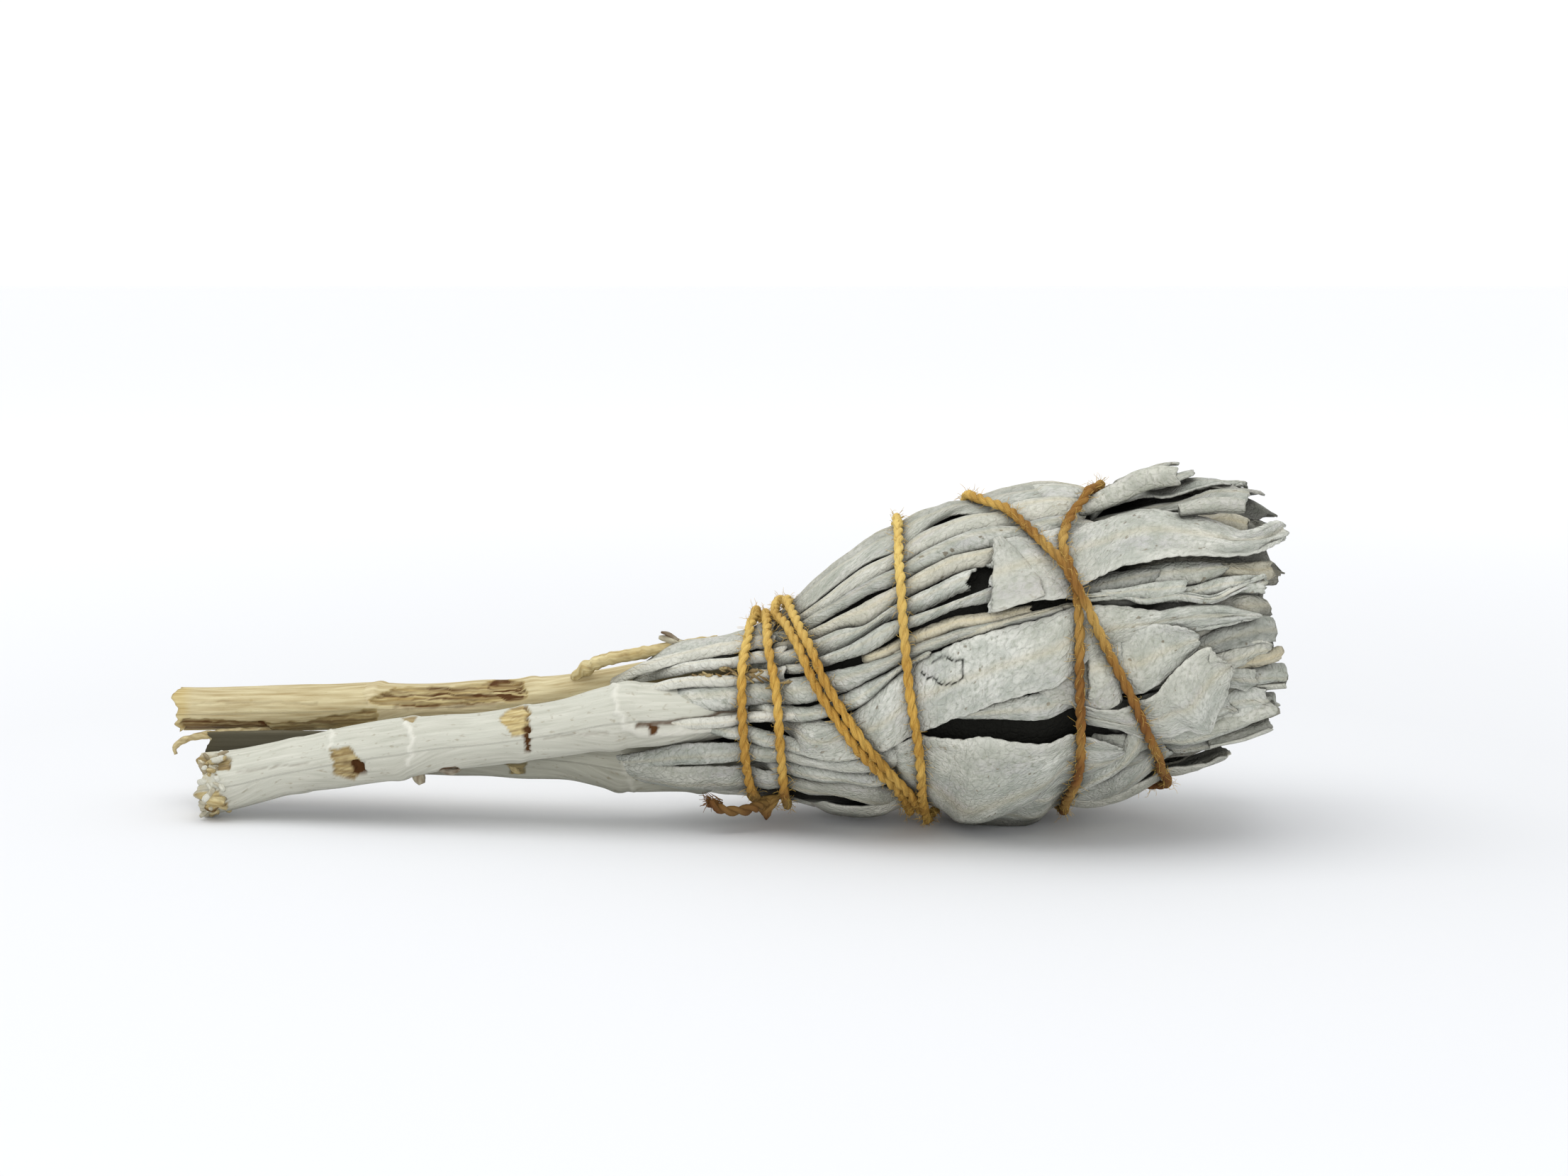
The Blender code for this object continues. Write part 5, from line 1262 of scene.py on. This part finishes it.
def string_path(tree):
    """The middle line of the string, drawn tight over the leaves and over what was wound before."""
    turned = [STRING_START]
    while turned[-1] < STRING_END:
        x = string_x_at(turned[-1])
        slope = (string_x_at(turned[-1] + 2) - x) / 2
        arc = math.hypot(math.radians(1) * half_height(x), slope)
        turned.append(turned[-1] + STRING_STEP / arc)
    turned[-1] = STRING_END
    places = []
    for turn in turned:
        x = string_x_at(turn)
        outward = on_bundle(x, 270 - turn, 0) - on_bundle(x, 270 - turn, -4)
        places.append((Vector((x, 0, middle_height(x))), outward.normalized()))
    least = [highest_leaf(tree, middle, outward) + STRING_RADIUS + STRING_GAP for middle, outward in places]
    reach = list(least)
    for pass_number in range(3):
        for _ in range(160):
            for i in range(1, len(reach) - 1):
                before = places[i - 1][0] + places[i - 1][1] * reach[i - 1]
                after = places[i + 1][0] + places[i + 1][1] * reach[i + 1]
                chord = (0.5 * (before + after) - places[i][0]).dot(places[i][1])
                reach[i] = max(least[i], chord)
        path = [middle + outward * r for (middle, outward), r in zip(places, reach)]
        for place in path:
            place.z = max(place.z, STRING_RADIUS + 0.12)
        if pass_number == 2:
            break
        array = np.array([tuple(p) for p in path])
        for i in range(len(path)):
            gaps = np.linalg.norm(array[:max(i - 36, 0)] - array[i], axis=1)
            for j in np.nonzero(gaps < 4.5)[0]:
                if abs(turned[i] - turned[j]) > 200:
                    gap = path[i] - path[j]
                    flat = gap - places[i][1] * gap.dot(places[i][1])
                    ahead = (path[min(i + 1, len(path) - 1)] - path[i - 1]).normalized()
                    other = (path[j + 1] - path[max(j - 1, 0)]).normalized()
                    if flat.length < 1.9 and ahead.cross(other).length > 0.2:
                        least[i] = max(least[i], (path[j] - places[i][0]).dot(places[i][1]) + 1.85)
    return path


def resample(path, step):
    """The same path with points this far apart, rounded off a little."""
    points = [tuple(p) for p in path]
    lengths = path_lengths(points)
    count = int(lengths[-1] / step)
    return [Vector(point_along(points, lengths, i / count)) for i in range(count + 1)]


def add_twine(builder, path, loosen=0.0):
    """Two strands twisted round a path."""
    fine = resample(path, TWINE_STEP)
    side = Vector((0.1, 0.9, 0.3)).normalized()
    strands = ([], [])
    along = 0.0
    frames = []
    for i, spot in enumerate(fine):
        ahead = (fine[min(i + 1, len(fine) - 1)] - fine[max(i - 1, 0)]).normalized()
        side = (side - ahead * side.dot(ahead)).normalized()
        frames.append((ahead, side, ahead.cross(side)))
        if i:
            along += (fine[i] - fine[i - 1]).length
        twist = 2 * pi * along / LAY_LENGTH + 1.5 * noise((along * 0.09, 5.0, 1.0))
        spread = STRAND_OFFSET * (1 + loosen + 0.12 * noise((along * 0.3, 2.0, 8.0)))
        for k in range(2):
            turn = twist + pi * k
            strands[k].append(spot + (side * cos(turn) + ahead.cross(side) * sin(turn)) * spread)
    for k, strand in enumerate(strands):
        radii = [STRAND_RADIUS * (1 + 0.18 * noise((i * 0.11, k * 9.0, 4.0))) for i in range(len(fine))]
        add_tube(builder, strand, radii, STRAND_SIDES, string_tint, 800.0 + 10 * k)
    return fine, frames


def add_fibre(builder, start, direction, length, radius, draw, tint=(0, 0, 0.3)):
    """A thin curved fibre that stands out of the string."""
    path = [start.copy()]
    heading = direction.normalized()
    for _ in range(4):
        heading += Vector((draw.gauss(0, 0.35), draw.gauss(0, 0.35), draw.gauss(0, 0.35)))
        heading.normalize()
        path.append(path[-1] + heading * (length / 4))
    for spot in path:
        spot.z = max(spot.z, 0.08)
    add_tube(builder, path, [radius, radius, radius * 0.9, radius * 0.8, radius * 0.4], 3, tint, 850.0)


def add_string(builder, tree):
    """The whole string: its winding, knot, frayed tail and fuzz."""
    draw = random.Random(5)
    path = string_path(tree)
    fine, frames = add_twine(builder, path)
    for _ in range(FIBRE_COUNT):
        i = draw.randrange(len(fine))
        ahead, side, other = frames[i]
        turn = draw.uniform(0, 2 * pi)
        out = side * cos(turn) + other * sin(turn)
        lean = ahead * draw.uniform(-1.2, 1.2)
        start = fine[i] + out * STRING_RADIUS * 0.8
        add_fibre(builder, start, out + lean, draw.uniform(0.6, 2.4), FIBRE_RADIUS, draw)
    knot = 0.5 * (path[0] + path[-1]) + Vector((0, -0.6, -0.2))
    loops = []
    for i in range(90):
        t = 2 * pi * i / 89
        x = 2.1 * sin(t) + 1.0 * sin(2 * t)
        y = -0.5 * cos(3 * t)
        z = 1.5 * cos(t) - 0.9 * cos(2 * t)
        loops.append(knot + Vector((x, y, max(z, 1.0 - knot.z))))
    add_twine(builder, loops)
    tail = [knot] + [at_depth(stop[:2], stop[2]) for stop in TAIL_STOPS]
    for spot in tail:
        spot.z = max(spot.z, 1.0)
    add_twine(builder, tail, 0.3)
    for _ in range(TAIL_FIBRES):
        heading = Vector((-1, draw.uniform(-0.7, 0.4), draw.uniform(-0.3, 1.1)))
        start = tail[-1] + Vector((draw.uniform(0, 2.4), draw.uniform(-0.4, 0.4), draw.uniform(-0.4, 0.4)))
        add_fibre(builder, start, heading, draw.uniform(1.4, 3.2), 0.09, draw, (0.75, 0.5, 0))


def set_inputs(tree, node, values):
    """Gives a node's inputs their values, or links them to the outputs of other nodes."""
    for name, value in values.items():
        if isinstance(value, bpy.types.NodeSocket):
            tree.links.new(value, node.inputs[name])
        else:
            node.inputs[name].default_value = value
    return node


class Skin:
    """A material whose colour is mixed step by step from patterns and from the tints of its piece."""

    def __init__(self, name, colour):
        self.material = bpy.data.materials.new(name)
        self.material.use_nodes = True
        self.tree = self.material.node_tree
        self.colour = colour
        place = self.add("Attribute")
        place.attribute_name = "leaf_place"
        self.place = place.outputs["Vector"]
        tint = self.add("Attribute")
        tint.attribute_name = "leaf_tint"
        self.tan, self.dark, self.pale = self.add("SeparateColor", {"Color": tint.outputs["Color"]}).outputs

    def add(self, kind, values=None):
        return set_inputs(self.tree, self.tree.nodes.new("ShaderNode" + kind), values or {})

    def ramp(self, value, low, high, top=1.0):
        """The value turned into one that runs from 0 to the top between two values."""
        values = {"Value": value, "From Min": low, "From Max": high, "To Max": top}
        return self.add("MapRange", values).outputs["Result"]

    def pattern(self, scale, low, high, detail=3.0, stretch=None):
        """A noise pattern over the piece's own places that runs from 0 to 1 between two values."""
        place = self.place
        if stretch:
            place = self.add("Mapping", {"Vector": place, "Scale": stretch}).outputs["Vector"]
        pattern = self.add("TexNoise", {"Vector": place, "Scale": scale, "Detail": detail})
        return self.ramp(pattern.outputs["Fac"], low, high)

    def blend(self, factor, first, second):
        """Two colours, or outputs with a colour, mixed by a factor."""
        mix = self.add("Mix")
        mix.data_type = "RGBA"
        first, second = [(*c, 1) if isinstance(c, tuple) else c for c in (first, second)]
        return set_inputs(self.tree, mix, {0: factor, 6: first, 7: second}).outputs[2]

    def mix(self, factor, colour):
        self.colour = self.blend(factor, self.colour, colour)

    def finish(self, height, strength, roughness, specular):
        """Links the colour and a fine relief to the shader, and gives back the material."""
        bump = self.add("Bump", {"Height": height, "Strength": strength, "Distance": RELIEF_DEPTH})
        set_inputs(self.tree, self.tree.nodes["Principled BSDF"], {
            "Base Color": self.colour, "Normal": bump.outputs["Normal"], "Roughness": roughness,
            "Specular IOR Level": specular})
        return self.material


def leaf_material():
    """Felted grey-white leaves with a net of fine veins, and painted shade that darkens the creases between
    them.
    """
    skin = Skin("sage_leaf_skin", (0.50, 0.513, 0.455))
    skin.mix(skin.pattern(0.09, 0.35, 0.65), (0.66, 0.665, 0.605))
    skin.mix(skin.pattern(0.16, 0.5, 0.75, stretch=(0.5, 1.4, 1)), (0.49, 0.485, 0.475))
    skin.mix(skin.pattern(0.3, 0.42, 0.72, 5.0), (0.37, 0.395, 0.345))
    skin.mix(skin.pattern(1.3, 0.48, 0.72, 4.0), (0.37, 0.39, 0.33))
    skin.mix(skin.pattern(0.7, 0.68, 0.74, 2.0), (0.24, 0.22, 0.17))
    skin.mix(skin.pale, (0.77, 0.765, 0.695))
    skin.mix(skin.tan, (0.66, 0.57, 0.37))
    # Painted shade: an ambient occlusion node darkens the colour where leaves lie close together.
    crease = skin.add("AmbientOcclusion", {"Distance": PAINTED_SHADE_REACH})
    crease.samples = 6
    skin.mix(skin.ramp(crease.outputs["AO"], 0.84, 0.3, 0.75), (0.05, 0.048, 0.04))
    # The dark tint: the leaves' own darker tone, and painted shade on deep leaves, under-layers and the
    # core.
    skin.mix(skin.dark, (0.010, 0.010, 0.008))
    net = skin.add("TexVoronoi")
    net.feature = "DISTANCE_TO_EDGE"
    set_inputs(skin.tree, net, {"Vector": skin.place, "Scale": 0.75})
    total = skin.add("Math")
    total.operation = "MULTIPLY_ADD"
    set_inputs(skin.tree, total, {0: skin.pattern(2.2, 0.3, 0.7, 4.0), 1: 1.1,
                                  2: skin.ramp(net.outputs["Distance"], 0, 0.16)})
    return skin.finish(total.outputs["Value"], 0.8, 0.85, 0.12)


def stem_material(name, dark):
    """Pale felted bark over tan wood, with its grain along the stem, and the colour of its dark places."""
    skin = Skin(name, (0.43, 0.44, 0.372))
    grain = skin.pattern(0.9, 0.3, 0.7, 5.0, (0.12, 1.6, 1))
    skin.mix(grain, (0.60, 0.60, 0.53))
    skin.mix(skin.pattern(0.25, 0.45, 0.7, stretch=(0.3, 1, 1)), (0.53, 0.54, 0.47))
    skin.mix(skin.pattern(1.5, 0.62, 0.72, 4.0, (0.5, 1, 1)), (0.36, 0.34, 0.27))
    skin.mix(skin.pale, (0.74, 0.735, 0.66))
    skin.mix(skin.tan, skin.blend(grain, (0.39, 0.275, 0.095), (0.69, 0.60, 0.335)))
    skin.mix(skin.dark, dark)
    return skin.finish(grain, 0.5, 0.8, 0.12)


def string_material():
    """Ochre cotton with fine fibres along the strands."""
    skin = Skin("ochre_cotton", (0.42, 0.195, 0.026))
    fibre = skin.pattern(1.6, 0.3, 0.7, 4.0, (0.5, 6, 1))
    skin.mix(fibre, (0.82, 0.525, 0.115))
    skin.mix(skin.tan, (0.19, 0.075, 0.022))
    skin.mix(skin.pale, (0.95, 0.76, 0.27))
    skin.mix(skin.dark, (0.10, 0.036, 0.012))
    return skin.finish(fibre, 0.7, 0.9, 0.2)


def floor_material():
    """The plain pale floor, which glows more away from the part: painted light that whitens the far floor.
    """
    material = bpy.data.materials.new("pale_floor")
    material.use_nodes = True
    tree = material.node_tree
    place = tree.nodes.new("ShaderNodeNewGeometry")
    away = tree.nodes.new("ShaderNodeVectorMath")
    away.operation = "LENGTH"
    set_inputs(tree, away, {0: place.outputs["Position"]})
    # Painted light: the floor glows, more the further it lies from the part.
    ramp = set_inputs(tree, tree.nodes.new("ShaderNodeMapRange"), {
        "Value": away.outputs["Value"], "From Min": 0.18, "From Max": 0.8, "To Max": 0.3})
    set_inputs(tree, tree.nodes["Principled BSDF"], {
        "Base Color": (0.75, 0.76, 0.775, 1), "Roughness": 0.8, "Specular IOR Level": 0.1,
        "Emission Color": (1, 1, 1, 1), "Emission Strength": ramp.outputs["Result"]})
    return material


def studio_world():
    """Plain soft light from all round, weaker from the front."""
    world = bpy.data.worlds.new("studio")
    world.use_nodes = True
    tree = world.node_tree
    place = tree.nodes.new("ShaderNodeTexCoord")
    parts = set_inputs(tree, tree.nodes.new("ShaderNodeSeparateXYZ"), {"Vector": place.outputs["Generated"]})
    ramp = set_inputs(tree, tree.nodes.new("ShaderNodeMapRange"), {
        "Value": parts.outputs["Y"], "From Min": -0.85, "From Max": 0.05, "To Min": WORLD_FRONT,
        "To Max": WORLD_BACK})
    inputs = {"Color": (0.985, 0.99, 1.0, 1), "Strength": ramp.outputs["Result"]}
    set_inputs(tree, tree.nodes["Background"], inputs)
    return world


def add_to_scene(name, data):
    obj = bpy.data.objects.new(name, data)
    bpy.context.scene.collection.objects.link(obj)
    return obj


def add_area_light(name, place, size, power):
    """A soft square light that faces the part. Places are in metres."""
    lamp = bpy.data.lights.new(name, "AREA")
    lamp.size = size
    lamp.energy = power
    obj = add_to_scene(name, lamp)
    obj.location = place
    obj.rotation_euler = (Vector(LIGHT_TARGET) - Vector(place)).to_track_quat("-Z", "Y").to_euler()


def add_stage():
    """Floor, light and camera."""
    mesh = bpy.data.meshes.new("floor")
    corners = [(-FLOOR_HALF, -FLOOR_HALF, 0), (FLOOR_HALF, -FLOOR_HALF, 0), (FLOOR_HALF, FLOOR_HALF, 0),
               (-FLOOR_HALF, FLOOR_HALF, 0)]
    mesh.from_pydata(corners, [], [(0, 1, 2, 3)])
    mesh.materials.append(floor_material())
    floor = add_to_scene("floor", mesh)
    bpy.context.scene.world = studio_world()
    add_area_light("softbox", (-0.16, -0.05, 0.8), 0.8, 2.9)
    add_area_light("front_fill", (0.12, -1.1, 0.2), 0.6, 5.4)
    camera_data = bpy.data.cameras.new("camera")
    camera_data.sensor_width = SENSOR_WIDTH
    camera_data.lens = SENSOR_WIDTH * SIGHT_DISTANCE / VIEW_WIDTH
    camera_data.clip_start = 0.01
    camera_data.clip_end = 100
    camera = add_to_scene("camera", camera_data)
    target = Vector((SIGHT_X + SET_DOWN[0], SET_DOWN[1], VIEW_MIDDLE)) * MM
    back = Vector((0, -cos(SIGHT_ANGLE), sin(SIGHT_ANGLE)))
    camera.location = target + back * SIGHT_DISTANCE * MM
    camera.rotation_euler = (pi / 2 - SIGHT_ANGLE, 0, 0)
    bpy.context.scene.camera = camera
    bpy.context.scene.view_settings.view_transform = "Standard"
    bpy.context.scene.view_settings.look = "None"


def finish_piece(builder, name, material, nodes):
    """Makes a piece, puts it on the part's body and hides the imported nodes that it stands for."""
    obj = builder.make(name, material)
    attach(obj, "root")
    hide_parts(*nodes)
    return obj


def seen_leaves(sprig, builder, table, seed, neck_seed):
    """The leaves, rolled tips and stalks of one leafy stem that the photo shows."""
    for k, spec in enumerate(table):
        add_leaf(builder, sprig, spec, seed + k)
    for k, (owner, stops, opening) in enumerate(ROLLS):
        if owner == sprig:
            add_roll(builder, stops, opening, 90 + k)
    for k, (owner, spec) in enumerate(NECK_STRIPS):
        if owner == sprig:
            add_leaf(builder, sprig, spec, neck_seed + k)


def stem_piece(name, seed, bark):
    """One stem with its twigs, crumbs and flakes."""
    builder = Builder()
    add_stem(builder, name, seed)
    for k, (owner, stops, tint) in enumerate(TWIGS):
        if owner == name:
            add_twig(builder, stops, tint, 20 + k)
    if name == "back":
        for k, (outline, count) in enumerate(CRUMBS):
            add_crumbs(builder, outline, count, (1.0, 0.6, 0), 40 + k)
    if name == "front":
        add_flakes(builder, name, FLAKE_COUNT, FLAKE_REACH, 50)
    return finish_piece(builder, name + "_stem", bark, ["sprig_" + name])


def surface_tree(pieces):
    """The pieces' surfaces as a tree for the string to lie on, in the drawing frame."""
    points = []
    faces = []
    for obj in pieces:
        start = len(points)
        points += [v.co / MM for v in obj.data.vertices]
        faces += [tuple(start + k for k in f.vertices) for f in obj.data.polygons if len(f.vertices) == 4]
    shift = Vector((SET_DOWN[0], SET_DOWN[1], 0))
    return BVHTree.FromPolygons([p - shift for p in points], faces)


def main():
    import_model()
    skin = leaf_material()
    front, back, rear, low, inner, string = [Builder() for _ in range(6)]
    seen_leaves("front", front, FRONT_LEAVES, 10, 400)
    seen_leaves("back", back, BACK_LEAVES, 60, 410)
    hidden_leaves("back", rear, 86, 176, 200)
    neck_back("back", rear, (84, 102, 120, 138, 156, 172), 260)
    seen_leaves("low", low, LOW_LEAVES, 120, 420)
    hidden_leaves("low", low, -184, -84, 300)
    neck_back("low", low, (-172, -155, -138, -121, -104, -88), 360)
    add_core(inner)
    inner_leaves(inner, 600)
    under_leaves(inner, 700)
    made = [
        finish_piece(front, "front_leaves", skin, ["sprig_front"]),
        finish_piece(back, "back_leaves", skin, ["sprig_back"]),
        finish_piece(rear, "rear_leaves", skin, ["sprig_back"]),
        finish_piece(low, "low_leaves", skin, ["sprig_low"]),
        finish_piece(inner, "inner_leaves", skin, ["sprig_front", "sprig_back", "sprig_low"]),
    ]
    bark = stem_material("stem_bark", (0.085, 0.036, 0.011))
    # The low stem's copy of the bark, with olive dark places for its painted shade.
    shaded_bark = stem_material("shaded_bark", (0.042, 0.037, 0.022))
    made.append(stem_piece("front", 1, bark))
    made.append(stem_piece("back", 2, bark))
    made.append(stem_piece("low", 3, shaded_bark))
    add_string(string, surface_tree(made))
    finish_piece(string, "string", string_material(), ["string_tie"])
    add_stage()


main()
